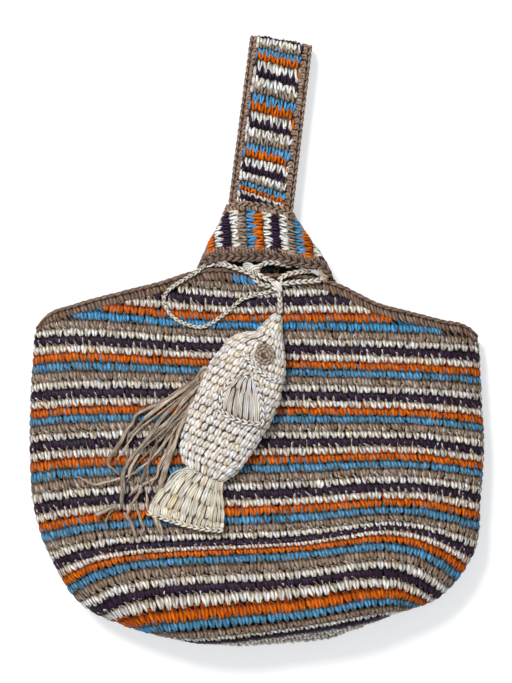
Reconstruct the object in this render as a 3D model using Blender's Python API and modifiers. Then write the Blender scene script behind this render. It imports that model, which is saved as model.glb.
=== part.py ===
"""Crocheted raffia bucket bag with a long and a short handle and a fish charm.

The bag lies on its back. +X runs along its width, +Y from the folded base to the
drawn-out handle, and +Z up from the surface it lies on. The origin is the centre
of its footprint. Everything is in metres.
"""
import math

import bpy
import numpy as np

MM = 0.001
GAP = 0.3 * MM  # clearance between neighbouring pieces

# Bag wall and its rows of stitches
WALL = 4.5 * MM
RIDGE = 0.7 * MM  # how far a row stands proud of the furrows beside it
FULL_ROUNDS = 41  # rows that run all the way round
LIP_ROW = 48  # last short row at the middle of the lip
ROUND_POINTS = 26  # points round one row
MOUTH_DEPTH = 26 * MM  # front to back, outside, at the mouth
BASE_DEPTH = 48 * MM  # front to back, outside, where the base begins
MOUTH_Y = 50 * MM
BASE_Y = -175 * MM
BASE_ROWS = 8.8  # rows over which the base rounds up to its full depth
FIRST_ROW_DEPTH = 0.8  # rows' worth of depth that the foundation chain has
BACK_LIP_DROP = 3 * MM  # the back lip ends this much lower than the front one

# Where a row's left end, right end and middle lie: row, x, y, x, y, y
ROW_PLACES = np.array([
    (0, -31, -225.0, 65, -217.9, -225.3),
    (3, -51, -222.3, 97, -202.3, -218.6),
    (9, -120.9, -199.7, 136.2, -188.3, -180.1),
    (15, -151.6, -164.6, 160.7, -156.4, -145.3),
    (21, -165.7, -123.1, 166.6, -115.0, -111.3),
    (27, -167.9, -78.0, 168.1, -80.2, -73.9),
    (33, -166.4, -41.7, 165.5, -46.2, -38.8),
    (39, -164.2, -4.5, 164.0, -11.1, -4.7),
    (41, -163.5, 6.2, 163.6, 0.3, 6.4),
]) * (1, MM, MM, MM, MM, MM)
# The lip's outline, edging included, from the left mouth corner to the right one
LIP_OUTLINE = np.array([
    (-163.5, 10.8), (-133.9, 27.1), (-104.3, 35.2), (-71.7, 43.4), (-44.3, 51.9),
    (-26, 53.4), (0, 49.6), (31.9, 48.5), (58.5, 42.6), (89.6, 27.6), (112.9, 21.5),
    (136.2, 15.5), (163.6, 4.9),
]) * MM
EDGING_WIDTH = 6.5 * MM
EDGING_CORNER_WIDTH = 3.5 * MM
EDGING_THICKNESS = 5.2 * MM
LIP_GAP = 3 * GAP  # between the top row and the edging, which twists at the corners

# Long handle: a folded strip, its two ends sewn inside the mouth
STRIP_THICKNESS = 4 * MM
HANDLE_BOTTOM = (-6.5 * MM, 24 * MM)
HANDLE_TOP = (18.1 * MM, 222.6 * MM)
HANDLE_STRIPES_WIDTH = 31 * MM
HANDLE_EDGING_WIDTH = 8.2 * MM
HANDLE_ROW = 5.1 * MM
HAND_LOOP = 6 * MM  # clear space between the two layers
HANDLE_TUCK_END = 79 * MM  # distance along the handle where it leaves the short handle
HANDLE_TUCK_WIDTH = 0.78
HANDLE_SPREAD = 18 * MM  # over which it widens again
HANDLE_TOP_WIDTH = 0.94

# Short handle: a band that arches over the long one
BAND_STRIPES = 16
BAND_TOP_WIDTH = 51.5 * MM
BAND_BOTTOM_WIDTH = 104 * MM
BAND_TOP_MIDDLE = (2.2 * MM, 99 * MM)
BAND_BOTTOM_MIDDLE_X = 6.4 * MM
BAND_CROWN = np.array([20.2, 21, 21.8]) * MM  # middle height over the long handle, top to bottom
BAND_EDGING_WIDTH = 7 * MM
BAND_LOWER_EDGING_WIDTH = 11 * MM
BAND_LOWER_EDGE = np.array([
    (-46, 54), (-40, 59), (-24, 64), (6, 63), (32, 58.5), (45, 52.5), (58.5, 44),
]) * MM
BAND_SEAM = 4 * GAP  # the rows of the band and its edging twist past each other at the bends
BAND_TUCK = 16 * MM  # how far the band's ends reach into the mouth

# Cords
TIE_DIAMETER = 3.2 * MM
LOOP_DIAMETER = 2.4 * MM
CHARM_CORD_DIAMETER = 3.4 * MM
KNOT = (14.9 * MM, 40.4 * MM)
KNOT_RADIUS = 3.6 * MM

# Fish charm, measured along its axis from the nose and across it
NOSE = (16.4 * MM, 20.6 * MM)
FISH_TURN = math.radians(22)
FISH_OUTLINE = np.array([
    # along, left half, right half, half thickness
    (0.6, 1.6, 1.6, 1.6), (4, 4.5, 3.4, 3.2), (10, 9.0, 6.2, 4.6), (17, 13.5, 9.5, 5.8),
    (25, 21.5, 14.2, 6.8), (40, 30.2, 20.2, 7.8), (55, 33.4, 23.5, 8.2), (72, 33.2, 23.8, 8.2),
    (87, 33.6, 22.0, 7.8), (100, 33.0, 19.0, 7.0), (113, 31.4, 15.8, 6.0), (122, 27.5, 11.5, 5.0),
    (129, 21.5, 8.0, 4.0),
]) * MM
FISH_ROW = 5.9 * MM
TAIL_OUTLINE = np.array([(0, 20.5, 8.0), (8, 27.5, 12), (20, 31.5, 17.5), (35.5, 33.5, 21.5)]) * MM
TAIL_THICKNESS = 3.2 * MM
EYE_PLACE = (30.6 * MM, -1.2 * MM)
EYE_RADIUS = 8 * MM
EYE_THICKNESS = 2.2 * MM
FIN_THICKNESS = 2.2 * MM
FIN_OUTLINE = np.array([
    # along, left edge, right edge
    (47.5, 7.5, 3.0), (53, 11.5, -3.0), (60, 14.2, -7.5), (70, 15.0, -12.0), (81, 14.5, -16.5),
]) * MM
GILL_DIAMETER = 3 * MM
CHARM_LIFT = 1.2 * MM  # how far the charm's underside stays above the bag's front

# Fringe strands: root and tip, from the head down the fish's left edge
STRAND_WIDTH = 3 * MM
STRAND_THICKNESS = 0.8 * MM
STRAND_ROOT = 54 * MM  # where the first strand leaves the fish's edge
STRAND_PITCH = 6.4 * MM
STRAND_REACH = (36 * MM, 4 * MM)  # how far the first and the last one bow out sideways
STRAND_TIPS = np.array([
    (-121.5, -103), (-118.5, -121), (-113, -137), (-101.5, -126), (-98, -141), (-86.5, -127),
    (-76.5, -109),
]) * MM

COLOURS = {
    "bag_body": (0.47, 0.39, 0.31), "mouth_edging": (0.27, 0.19, 0.15),
    "long_handle": (0.45, 0.36, 0.30), "short_handle": (0.46, 0.30, 0.24),
    "cord": (0.72, 0.64, 0.52), "fish": (0.76, 0.68, 0.54), "eye": (0.38, 0.28, 0.20),
    "fringe": (0.55, 0.40, 0.25), "edging": (0.28, 0.20, 0.15),
}


def clear_scene():
    """Remove whatever the new scene came with."""
    for thing in list(bpy.data.objects):
        bpy.data.objects.remove(thing, do_unlink=True)


def material(name, colour, roughness=0.75):
    """A plain dyed-raffia finish."""
    made = bpy.data.materials.new(name)
    made.use_nodes = True
    shader = made.node_tree.nodes["Principled BSDF"]
    shader.inputs["Base Color"].default_value = (*colour, 1)
    shader.inputs["Roughness"].default_value = roughness
    shader.inputs["Metallic"].default_value = 0
    return made


def smooth(at, places, values):
    """Cubic Hermite curve through (places, values), read at each of at."""
    at = np.clip(np.asarray(at, float), places[0], places[-1])
    slopes = np.gradient(values, places, axis=0)
    i = np.clip(np.searchsorted(places, at, side="right") - 1, 0, len(places) - 2)
    width = places[i + 1] - places[i]
    t = (at - places[i]) / width
    a = (1 + 2 * t) * (1 - t) ** 2
    b = t * (1 - t) ** 2
    c = t * t * (3 - 2 * t)
    d = t * t * (t - 1)
    return a * values[i] + b * width * slopes[i] + c * values[i + 1] + d * width * slopes[i + 1]


def add_mesh(name, points, faces, colour, collection):
    """A named object from points and faces, with its own material."""
    mesh = bpy.data.meshes.new(name)
    mesh.from_pydata([tuple(p) for p in points], [], faces)
    mesh.validate()
    made = bpy.data.objects.new(name, mesh)
    made.data.materials.append(material(name, COLOURS[colour]))
    collection.objects.link(made)
    return made


def ring_faces(rings, count, first=0):
    """Quads between each ring of count points and the next one."""
    faces = []
    for r in range(rings - 1):
        for j in range(count):
            a = first + r * count + j
            b = first + r * count + (j + 1) % count
            faces.append((a, a + count, b + count, b))
    return faces


def grid_faces(rows, columns):
    """Quads over an open grid of rows by columns points."""
    return [
        (r * columns + c, r * columns + c + 1, (r + 1) * columns + c + 1, (r + 1) * columns + c)
        for r in range(rows - 1) for c in range(columns - 1)
    ]


def slab(name, grid, thickness, colour, collection):
    """An open surface made solid about its middle."""
    rows, columns = grid.shape[:2]
    made = add_mesh(name, grid.reshape(-1, 3), grid_faces(rows, columns), colour, collection)
    solid = made.modifiers.new("Solidify", "SOLIDIFY")
    solid.thickness = thickness
    solid.offset = 0
    solid.use_rim = True
    return made


def lofted(name, grid, out, thickness, colour, collection):
    """A solid between two skins that lie half the thickness either side of a surface."""
    rows, columns = grid.shape[:2]
    skins = np.stack([grid + out * thickness / 2, grid - out * thickness / 2])
    upper = grid_faces(rows, columns)
    count = rows * columns
    faces = upper + [tuple(i + count for i in face[::-1]) for face in upper]
    rim = [c for c in range(columns)] + [r * columns + columns - 1 for r in range(1, rows)]
    rim += [(rows - 1) * columns + c for c in range(columns - 2, -1, -1)]
    rim += [r * columns for r in range(rows - 2, 0, -1)]
    for a, b in zip(rim, rim[1:] + rim[:1]):
        faces.append((b, a, a + count, b + count))
    add_mesh(name, skins.reshape(-1, 3), faces, colour, collection)


def front_height(y):
    """Height of the bag's front, a plane that rises from the mouth to the base."""
    slope = (BASE_DEPTH - MOUTH_DEPTH) / (MOUTH_Y - BASE_Y)
    return MOUTH_DEPTH + slope * (MOUTH_Y - y)


def side_profile(across, flat, power):
    """1 over the flat middle, rounding down to 0 at either side."""
    past = np.clip((np.abs(across) - flat) / (1 - flat), 0, 1)
    return (1 - past ** power) ** (1 / power)


def shell_height(across, front, y, fullness):
    """Height of the bag's outer skin at a share of its half width."""
    top = front_height(y)
    middle = top / 2
    up = (top - middle) * side_profile(across, 0.45, 2.2)
    down = (middle - RIDGE) * side_profile(across, 0.75, 2.0)
    return middle + fullness * np.where(front, up, -down)


def edging_width(across):
    """The edging narrows towards the mouth's corners."""
    return EDGING_CORNER_WIDTH + (EDGING_WIDTH - EDGING_CORNER_WIDTH) * (1 - np.abs(across) ** 6)


def lip_height(x, across, front):
    """Where the bag's own top row ends, below the edging."""
    outline = smooth(x, LIP_OUTLINE[:, 0], LIP_OUTLINE[:, 1])
    drop = np.where(front, 0, BACK_LIP_DROP * (1 - np.abs(across) ** 6))
    return outline - drop - edging_width(across) - LIP_GAP


def row_line(row, across):
    """x and y of a full row at a share of its half width, from -1 to 1."""
    left_x, left_y, right_x, right_y, middle_y = (
        smooth(row, ROW_PLACES[:, 0], ROW_PLACES[:, k]) for k in range(1, 6)
    )
    share = (across + 1) / 2
    chord = left_y + (right_y - left_y) * share
    rise = middle_y - (left_y + right_y) / 2
    return left_x + (right_x - left_x) * share, chord + rise * (1 - np.abs(across) ** 5)


def bag_point(row, angle):
    """The outer skin at a row number and an angle round the bag.

    The angle starts at the right side and runs over the front. Above the full
    rounds the rows share out the height that is left below the lip.
    """
    row, angle = np.broadcast_arrays(np.asarray(row, float), np.asarray(angle, float))
    across = np.cos(angle)
    front = np.sin(angle) >= 0
    x, y = row_line(np.minimum(row, FULL_ROUNDS), across)
    share = np.clip((row - FULL_ROUNDS) / (LIP_ROW - FULL_ROUNDS), 0, None)
    y = y + share * (lip_height(x, across, front) - y)
    filled = np.clip((row + FIRST_ROW_DEPTH) / BASE_ROWS, 0, 1)
    fullness = np.sin(filled * math.pi / 2)
    return np.stack([x, y, shell_height(across, front, y, fullness)], axis=-1)


def bag_normal(row, angle):
    """Outward direction of the skin, from its slopes along and across the rows."""
    step, turn = 0.25, math.radians(3)
    low, high = np.maximum(row - step, 0), np.minimum(row + step, LIP_ROW)
    along = bag_point(high, angle) - bag_point(low, angle)
    around = bag_point(row, angle + turn) - bag_point(row, angle - turn)
    out = np.cross(along, around)
    return out / np.linalg.norm(out, axis=-1, keepdims=True)


def round_angles():
    """Angles round a row: the two side points and the rest between them."""
    return np.arange(ROUND_POINTS) * 2 * math.pi / ROUND_POINTS


def cap_faces(first, outward):
    """Close a ring across, from its front points to the back points under them."""
    half = ROUND_POINTS // 2
    faces = []
    for j in range(half):
        a, b = first + j, first + j + 1
        c, d = first + (ROUND_POINTS - j - 1) % ROUND_POINTS, first + (ROUND_POINTS - j) % ROUND_POINTS
        corners = [a, b, c, d]
        kept = [p for i, p in enumerate(corners) if p not in corners[:i]]
        faces.append(tuple(kept if outward else kept[::-1]))
    return faces


def build_bag(collection):
    """The bag: one wall, ridged by its rows outside and smooth inside."""
    angles = round_angles()
    rows = np.arange(0, LIP_ROW + 0.25, 0.5)[:, None]
    proud = np.where(rows % 1 == 0, RIDGE, 0)[..., None]
    outer = bag_point(rows, angles) + bag_normal(rows, angles) * proud
    outer[..., 2] = np.maximum(outer[..., 2], 0)
    inner_rows = np.array([48, 46, 44, 41, 34, 27, 20, 13, 9, 6, 4])[:, None]
    inner = bag_point(inner_rows, angles) - bag_normal(inner_rows, angles) * WALL
    points = np.concatenate([outer.reshape(-1, 3), inner.reshape(-1, 3)])
    rings = len(rows) + len(inner_rows)
    faces = ring_faces(rings, ROUND_POINTS)
    faces += cap_faces(0, True)
    faces += cap_faces((rings - 1) * ROUND_POINTS, False)
    add_mesh("bag_body", points, faces, "bag_body", collection)


def build_mouth_edging(collection):
    """A crocheted edging all round the mouth, standing on the bag's top row."""
    angles = round_angles()
    across = np.cos(angles)
    front = np.sin(angles) >= 0
    lip = bag_point(np.full(ROUND_POINTS, float(LIP_ROW)), angles)
    out = bag_normal(np.full(ROUND_POINTS, float(LIP_ROW)), angles)
    middle = lip - out * WALL / 2
    section = [(0, 0.8), (0.5, 1), (1, 0.7), (1, -0.7), (0.5, -1), (0, -0.8)]
    rings = []
    for up, side in section:
        ring = middle + out * side * EDGING_THICKNESS / 2
        y = lip[:, 1] + LIP_GAP + up * edging_width(across)
        rise = shell_height(across, front, y, 1.0) - shell_height(across, front, lip[:, 1], 1.0)
        ring[:, 1] += y - lip[:, 1]
        ring[:, 2] += rise
        rings.append(ring)
    points = np.stack(rings, axis=1).reshape(-1, 3)
    count = len(section)
    faces = []
    for j in range(ROUND_POINTS):
        for k in range(count):
            a, b = j * count, (j + 1) % ROUND_POINTS * count
            n = (k + 1) % count
            faces.append((a + k, a + n, b + n, b + k))
    add_mesh("mouth_edging", points, faces, "mouth_edging", collection)


def tucked_height():
    """Middle height of a strip that lies on the bag's back lip."""
    lip_top = RIDGE + WALL / 2 + EDGING_THICKNESS / 2
    return lip_top + GAP + RIDGE / 2 + STRIP_THICKNESS / 2


def handle_path(step):
    """The folded handle's middle, as distance along it, and height, one row each.

    It starts at the end sewn to the bag's back, crosses the back lip, lies on the
    table, folds over at the top and comes back over itself.
    """
    long = math.dist(HANDLE_BOTTOM, HANDLE_TOP)
    low = STRIP_THICKNESS / 2 + GAP + 0.6 * MM
    high = low + STRIP_THICKNESS + HAND_LOOP
    sewn = tucked_height()
    fold = (high - low) / 2
    stacked = sewn + STRIP_THICKNESS + 3 * GAP
    under = [(0, sewn), (14 * MM, sewn), (30 * MM, sewn), (52 * MM, (sewn + low) / 2), (70 * MM, low)]
    run = np.linspace(90 * MM, long - fold, 7)
    turn = np.linspace(-80, 80, 7) * math.pi / 180
    points = under + [(x, low) for x in run]
    points += [(long - fold + fold * math.cos(a), low + fold + fold * math.sin(a)) for a in turn]
    points += [(x, high) for x in run[::-1]]
    points += [(70 * MM, high + 0.4 * MM), (48 * MM, high + 0.6 * MM), (30 * MM, stacked)]
    points += [(14 * MM, stacked), (0, stacked)]
    points = np.array(points)
    along = np.concatenate([[0], np.cumsum(np.linalg.norm(np.diff(points, axis=0), axis=1))])
    at = np.linspace(0, along[-1], 2 * round(along[-1] / (2 * step)) + 1)
    return np.stack([smooth(at, along, points[:, k]) for k in range(2)], axis=1)


def handle_width(distance):
    """The handle is squeezed where the short handle holds it, and tapers to its fold."""
    long = math.dist(HANDLE_BOTTOM, HANDLE_TOP)
    spread = np.clip((distance - HANDLE_TUCK_END) / HANDLE_SPREAD, 0, 1)
    opened = HANDLE_TUCK_WIDTH + (1 - HANDLE_TUCK_WIDTH) * spread ** 2 * (3 - 2 * spread)
    return opened * (1 + (HANDLE_TOP_WIDTH - 1) * distance / long)


def handle_grid(path, across, proud):
    """Points of the handle at widths across it, in metres from its middle line."""
    bottom, top = np.array(HANDLE_BOTTOM), np.array(HANDLE_TOP)
    up = (top - bottom) / np.linalg.norm(top - bottom)
    side = np.array([up[1], -up[0]])
    slope = np.gradient(path, axis=0)
    slope /= np.linalg.norm(slope, axis=1, keepdims=True)
    out = np.stack([-slope[:, 1], slope[:, 0]], axis=1)
    line = path + out * proud[:, None]
    width = handle_width(path[:, 0])[:, None] * np.asarray(across)[None, :]
    flat = bottom + line[:, :1, None].transpose(0, 2, 1) * up + width[..., None] * side
    height = np.repeat(line[:, 1][:, None], len(across), axis=1)
    return np.concatenate([flat, height[..., None]], axis=-1)


def build_long_handle(collection):
    """The striped strip and the edging down either side of it."""
    half = HANDLE_STRIPES_WIDTH / 2
    path = handle_path(HANDLE_ROW / 2)
    proud = np.where(np.arange(len(path)) % 2 == 0, RIDGE / 2, -RIDGE / 2)
    slab("long_handle", handle_grid(path, [-half, half], proud), STRIP_THICKNESS, "long_handle",
         collection)
    path = handle_path(HANDLE_ROW)
    still = np.zeros(len(path))
    inner, outer = half + 1.5 * GAP / HANDLE_TUCK_WIDTH, half + HANDLE_EDGING_WIDTH
    for side, name in ((-1, "long_handle_edging_left"), (1, "long_handle_edging_right")):
        edges = sorted((side * inner, side * outer))
        slab(name, handle_grid(path, edges, still), STRIP_THICKNESS, "edging", collection)


def band_point(across, down):
    """The short handle's middle surface.

    across runs from 0 at its left end to 1 at its right end, and down from 0 at the
    edge towards the fold of the long handle to 1 at the edge over the mouth. It
    arches over the long handle, and its ends reach down into the mouth.
    """
    across, down = np.broadcast_arrays(across, down)
    width = BAND_TOP_WIDTH + (BAND_BOTTOM_WIDTH - BAND_TOP_WIDTH) * down ** 1.15
    width = width - STRIP_THICKNESS
    middle = BAND_TOP_MIDDLE[0] + (BAND_BOTTOM_MIDDLE_X - BAND_TOP_MIDDLE[0]) * down
    sweep = -np.cos(across * math.pi)
    x = middle + sweep * width / 2
    top = BAND_TOP_MIDDLE[1] - 0.07 * (x - BAND_TOP_MIDDLE[0])
    bottom = smooth(x, BAND_LOWER_EDGE[:, 0], BAND_LOWER_EDGE[:, 1])
    bottom = bottom - BAND_TUCK * np.abs(2 * across - 1) ** 8
    y = top + (bottom - top) * down
    tuck = tucked_height()
    crown = smooth(down, np.array([0, 0.5, 1.0]), BAND_CROWN)
    foot = smooth(down, np.array([0, 0.45, 0.7, 1.0]), np.array([3.2 * MM, 5.2 * MM, tuck, tuck]))
    arch = np.sin(np.clip(across, 0, 1) * math.pi) ** 0.3
    return np.stack([x, y, foot + (crown - foot) * arch], axis=-1)


def band_normal(across, down):
    """Outward direction of the band, from its slopes along and across it."""
    step = 0.004
    across, down = np.clip(across, step, 1 - step), np.clip(down, step, 1 - step)
    along = band_point(across + step, down) - band_point(across - step, down)
    below = band_point(across, down + step) - band_point(across, down - step)
    out = np.cross(below, along)
    return out / np.linalg.norm(out, axis=-1, keepdims=True)


def build_short_handle(collection):
    """The striped band, with an edging along its upper and its lower edge."""
    stripe = np.linspace(0, 1, 2 * BAND_STRIPES + 1)
    tall = BAND_TOP_MIDDLE[1] - BAND_LOWER_EDGE[3, 1]
    upper = BAND_EDGING_WIDTH / tall
    lower = 1 - BAND_LOWER_EDGING_WIDTH / tall
    seam = BAND_SEAM / tall
    pieces = {
        "short_handle": ("short_handle", np.linspace(upper + seam / 2, lower - seam, 4)),
        "short_handle_edging_upper": ("edging", [0, upper]),
        "short_handle_edging_lower": ("edging", [lower, (1 + lower) / 2, 1]),
    }
    for name, (colour, downs) in pieces.items():
        grid = band_point(stripe[:, None], np.array(downs)[None, :])
        out = band_normal(stripe[:, None], np.array(downs)[None, :])
        if name == "short_handle":
            grid[1:-1:2] += out[1:-1:2] * RIDGE / 2
        lofted(name, grid, out, STRIP_THICKNESS, colour, collection)


def through(route, step):
    """A Catmull-Rom curve through the route's points, read every step metres."""
    route = np.asarray(route, float)
    ends = np.concatenate([[2 * route[0] - route[1]], route, [2 * route[-1] - route[-2]]])
    a, b, c, d = ends[:-3, None], ends[1:-2, None], ends[2:-1, None], ends[3:, None]
    t = np.linspace(0, 1, 12, endpoint=False)[None, :, None]
    fine = 0.5 * (2 * b + (c - a) * t + (2 * a - 5 * b + 4 * c - d) * t ** 2
                  + (3 * b - a - 3 * c + d) * t ** 3)
    fine = np.concatenate([fine.reshape(-1, 3), route[-1:]])
    along = np.concatenate([[0], np.cumsum(np.linalg.norm(np.diff(fine, axis=0), axis=1))])
    at = np.linspace(0, along[-1], max(2, round(along[-1] / step) + 1))
    return np.stack([np.interp(at, along, fine[:, k]) for k in range(3)], axis=1)


def on_front(points):
    """Route points given as x, y and height above the bag's front, in millimetres."""
    points = np.array(points, float) * MM
    points[:, 2] += front_height(points[:, 1])
    return points


def tube(name, route, diameter, colour, collection):
    """A round cord along a smooth curve through its route."""
    curve = bpy.data.curves.new(name, "CURVE")
    curve.dimensions = "3D"
    curve.bevel_depth = diameter / 2
    curve.bevel_resolution = 2
    curve.use_fill_caps = True
    line = through(route, 2.6 * diameter)
    spline = curve.splines.new("POLY")
    spline.points.add(len(line) - 1)
    spline.points.foreach_set("co", np.c_[line, np.ones(len(line))].ravel())
    made = bpy.data.objects.new(name, curve)
    curve.materials.append(material(name, COLOURS[colour]))
    collection.objects.link(made)
    return made


TIE_CORDS = {
    # x, y and height above the front, in millimetres, for points chosen along each cord
    "anchor_cord": [(50.4, 48.4, -3.5), (49.2, 47.4, 1.2), (46, 45.4, 2.9), (41, 44.6, 2.9),
                    (35.6, 44.2, 2.9), (29, 43.8, 2.9), (24, 43.2, 3.3), (18.9, 42.2, 4.2)],
    "left_tie_cord": [(-31, 56.6, -9), (-27, 57, -4), (-22, 56.2, 1.5), (-17, 54.6, 2.9),
                      (-10, 52.4, 2.9), (-5, 50.3, 2.8), (-2.2, 47.4, 2.8), (0.2, 44.2, 2.8),
                      (4.2, 41.8, 3.2), (10.6, 40.8, 4.3)],
    "right_tie_cord": [(16.0, 44.7, 4.4), (18.8, 47.6, 3.6), (24, 50, 3.0), (30.5, 51.2, 1.8),
                       (35, 52, -2), (38.5, 51.8, -7), (39.6, 52.2, -8.6)],
    "cross_tie_cord": [(12.4, 44.0, 4.4), (8.4, 45.8, 3.8), (3.6, 47.8, 3.1), (0.4, 51.2, 2.9),
                       (1.6, 55.2, 2.0), (6, 57.8, 0.2), (12, 58.2, -1.8), (19, 57.2, -4),
                       (26, 55.6, -7)],
}
LOOP_ROUTE = [
    (11.3, 37.9, 2.9), (6.4, 36.0, 2.2), (0.6, 34.8, 2.2), (-4.6, 33.4, 2.2), (-11, 31.2, 2.2),
    (-15.8, 27.2, 2.2), (-21.6, 22, 2.2), (-28, 17.4, 2.2), (-33.4, 13.6, 2.2), (-40, 10.8, 2.2),
    (-47.4, 11.4, 2.2), (-56.6, 14.8, 2.2), (-63.2, 19.6, 2.2), (-66.8, 25, 2.2), (-68.6, 31, 2.2),
    (-66, 37, 2.2), (-59.4, 42.2, 2.2), (-52, 46.8, 2.2), (-44.4, 51.2, 2.2), (-40.6, 54.4, 0.8),
    (-38.4, 56.2, -5),
]


def build_cords(collection):
    """The crocheted tie cords, the big loop and their knot."""
    for name, route in TIE_CORDS.items():
        tube(name, on_front(route), TIE_DIAMETER, "cord", collection)
    tube("loop_cord", on_front(LOOP_ROUTE), LOOP_DIAMETER, "cord", collection)
    ball("tie_knot", (*KNOT, front_height(KNOT[1]) + KNOT_RADIUS + RIDGE + GAP), KNOT_RADIUS,
         "cord", collection)


def ball(name, centre, radius, colour, collection):
    """A round knot."""
    bpy.ops.mesh.primitive_uv_sphere_add(segments=14, ring_count=8, radius=radius, location=centre)
    made = bpy.context.object
    made.name = name
    made.data.name = name
    made.data.materials.append(material(name, COLOURS[colour]))
    for home in made.users_collection:
        home.objects.unlink(made)
    collection.objects.link(made)
    made.data.shade_smooth()
    return made


def on_fish(along, left, lift):
    """A point given along the fish, to its left, and above the bag's front."""
    along, left, lift = np.broadcast_arrays(along, left, lift)
    down = np.array([-math.sin(FISH_TURN), -math.cos(FISH_TURN)])
    aside = np.array([-math.cos(FISH_TURN), math.sin(FISH_TURN)])
    flat = np.array(NOSE) + along[..., None] * down + left[..., None] * aside
    return np.concatenate([flat, (front_height(flat[..., 1]) + lift)[..., None]], axis=-1)


def fish_section(along):
    """The fish's left half width, right half width and half thickness."""
    return [smooth(along, FISH_OUTLINE[:, 0], FISH_OUTLINE[:, k]) for k in (1, 2, 3)]


def fish_top(along, left):
    """Height of the fish's upper side above the bag's front."""
    wide_left, wide_right, half = fish_section(along)
    share = np.where(left > 0, left / wide_left, -left / wide_right)
    return CHARM_LIFT + half * (1 + np.sqrt(np.clip(1 - np.abs(share) ** 2.2, 0, 1)))


def build_fish(collection):
    """The stuffed fish: a rounded body whose rows run across it."""
    start, end = FISH_OUTLINE[0, 0], FISH_OUTLINE[-1, 0]
    rows = 2 * round((end - start) / FISH_ROW)
    along = np.linspace(start, end, rows + 1)[:, None]
    angle = np.arange(12) * 2 * math.pi / 12
    wide_left, wide_right, half = fish_section(along)
    proud = np.where(np.arange(rows + 1) % 2 == 1, 0, -RIDGE)[:, None]
    side = np.sign(np.cos(angle)) * np.abs(np.cos(angle)) ** 0.9
    left = np.where(side > 0, wide_left + proud, wide_right + proud) * side
    lift = CHARM_LIFT + half + (half + proud) * np.sin(angle)
    points = on_fish(along, left, lift).reshape(-1, 3)
    faces = ring_faces(rows + 1, 12)
    faces.append(tuple(range(12)))
    faces.append(tuple(range(rows * 12, rows * 12 + 12))[::-1])
    add_mesh("fish_body", points, faces, "fish", collection)


def build_fish_trim(collection):
    """Tail, eye, fin and the raised line behind the head."""
    along = np.linspace(0, TAIL_OUTLINE[-1, 0], 5)
    share = np.linspace(-1, 1, 13)
    left, right = (smooth(along, TAIL_OUTLINE[:, 0], TAIL_OUTLINE[:, k])[:, None] for k in (1, 2))
    across = np.where(share > 0, left * share, right * share)
    lift = CHARM_LIFT + TAIL_THICKNESS / 2 + np.where(np.arange(13) % 2, RIDGE, 0) + 1.2 * MM
    base = FISH_OUTLINE[-1, 0] + GAP + TAIL_THICKNESS * 0.1
    slab("fish_tail", on_fish(base + along[:, None], across, lift), TAIL_THICKNESS, "fish",
         collection)

    u, v = np.meshgrid(np.linspace(-1, 1, 7), np.linspace(-1, 1, 7), indexing="ij")
    along = EYE_PLACE[0] + EYE_RADIUS * u * np.sqrt(1 - v ** 2 / 2)
    left = EYE_PLACE[1] + EYE_RADIUS * v * np.sqrt(1 - u ** 2 / 2)
    lift = fish_top(along, left) + EYE_THICKNESS / 2 + 2 * GAP
    slab("fish_eye", on_fish(along, left, lift), EYE_THICKNESS, "eye", collection)

    along = FIN_OUTLINE[:, 0][:, None]
    share = np.linspace(0, 1, 7)
    across = FIN_OUTLINE[:, 1][:, None] * (1 - share) + FIN_OUTLINE[:, 2][:, None] * share
    lift = fish_top(along, across) + FIN_THICKNESS / 2 + 2 * GAP
    slab("fish_fin", on_fish(along, across, lift), FIN_THICKNESS, "fish", collection)

    left = np.array([10, 5, 0, -5, -10, -15]) * MM
    along = 43.2 * MM - 1.6 * MM * np.cos(left / (9 * MM))
    lift = fish_top(along, left) + GILL_DIAMETER / 2 + 2 * GAP
    tube("gill_line", on_fish(along, left, lift), GILL_DIAMETER, "fish", collection)


def build_fringe(collection):
    """Flat raffia strands that bow out from the fish's left edge and hang down."""
    reaches = np.linspace(*STRAND_REACH, len(STRAND_TIPS))
    for number, (tip, reach) in enumerate(zip(STRAND_TIPS, reaches)):
        along = np.array(STRAND_ROOT + number * STRAND_PITCH)
        wide_left, _, half = fish_section(along)
        edge = wide_left + 3 * GAP
        root = on_fish(along, edge, 0)[:2]
        bend = on_fish(along + reach / 3, edge + reach, 0)[:2]
        share = np.linspace(0, 1, 9)[:, None]
        flat = (1 - share) ** 2 * root + 2 * share * (1 - share) * bend + share ** 2 * tip
        run = np.gradient(flat, axis=0)
        run /= np.linalg.norm(run, axis=1, keepdims=True)
        side = np.stack([run[:, 1], -run[:, 0]], axis=1)
        wide = STRAND_WIDTH * (0.62 + 0.38 * np.sin(share * math.pi / 2)) / 2
        low = CHARM_LIFT + STRAND_THICKNESS / 2
        lift = low + (half - STRAND_THICKNESS / 2) * (1 - share[:, 0]) ** 2
        edges = [np.c_[flat + side * wide * s, front_height(flat[:, 1]) + lift] for s in (-1, 1)]
        slab(f"fringe_strand_{number + 1:02d}", np.stack(edges, axis=1), STRAND_THICKNESS,
             "fringe", collection)


def build_charm_cord(collection):
    """The cord from the knot to the fish's nose, from whose end the fish lifts."""
    knot = np.array([*KNOT, front_height(KNOT[1]) + KNOT_RADIUS + RIDGE + GAP])
    nose = on_fish(FISH_OUTLINE[0, 0] - GAP, 0, CHARM_LIFT + FISH_OUTLINE[0, 3])
    run = (nose - knot) / np.linalg.norm(nose - knot)
    start = knot + run * (KNOT_RADIUS + 2 * GAP)
    side = np.array([1.3 * MM, 0.3 * MM, 0])
    middle = (start + nose) / 2 + side
    tube("charm_cord", [start, (start + middle) / 2 + side / 3, middle,
                        (middle + nose) / 2 + side / 3, nose], CHARM_CORD_DIAMETER, "cord",
         collection)


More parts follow.
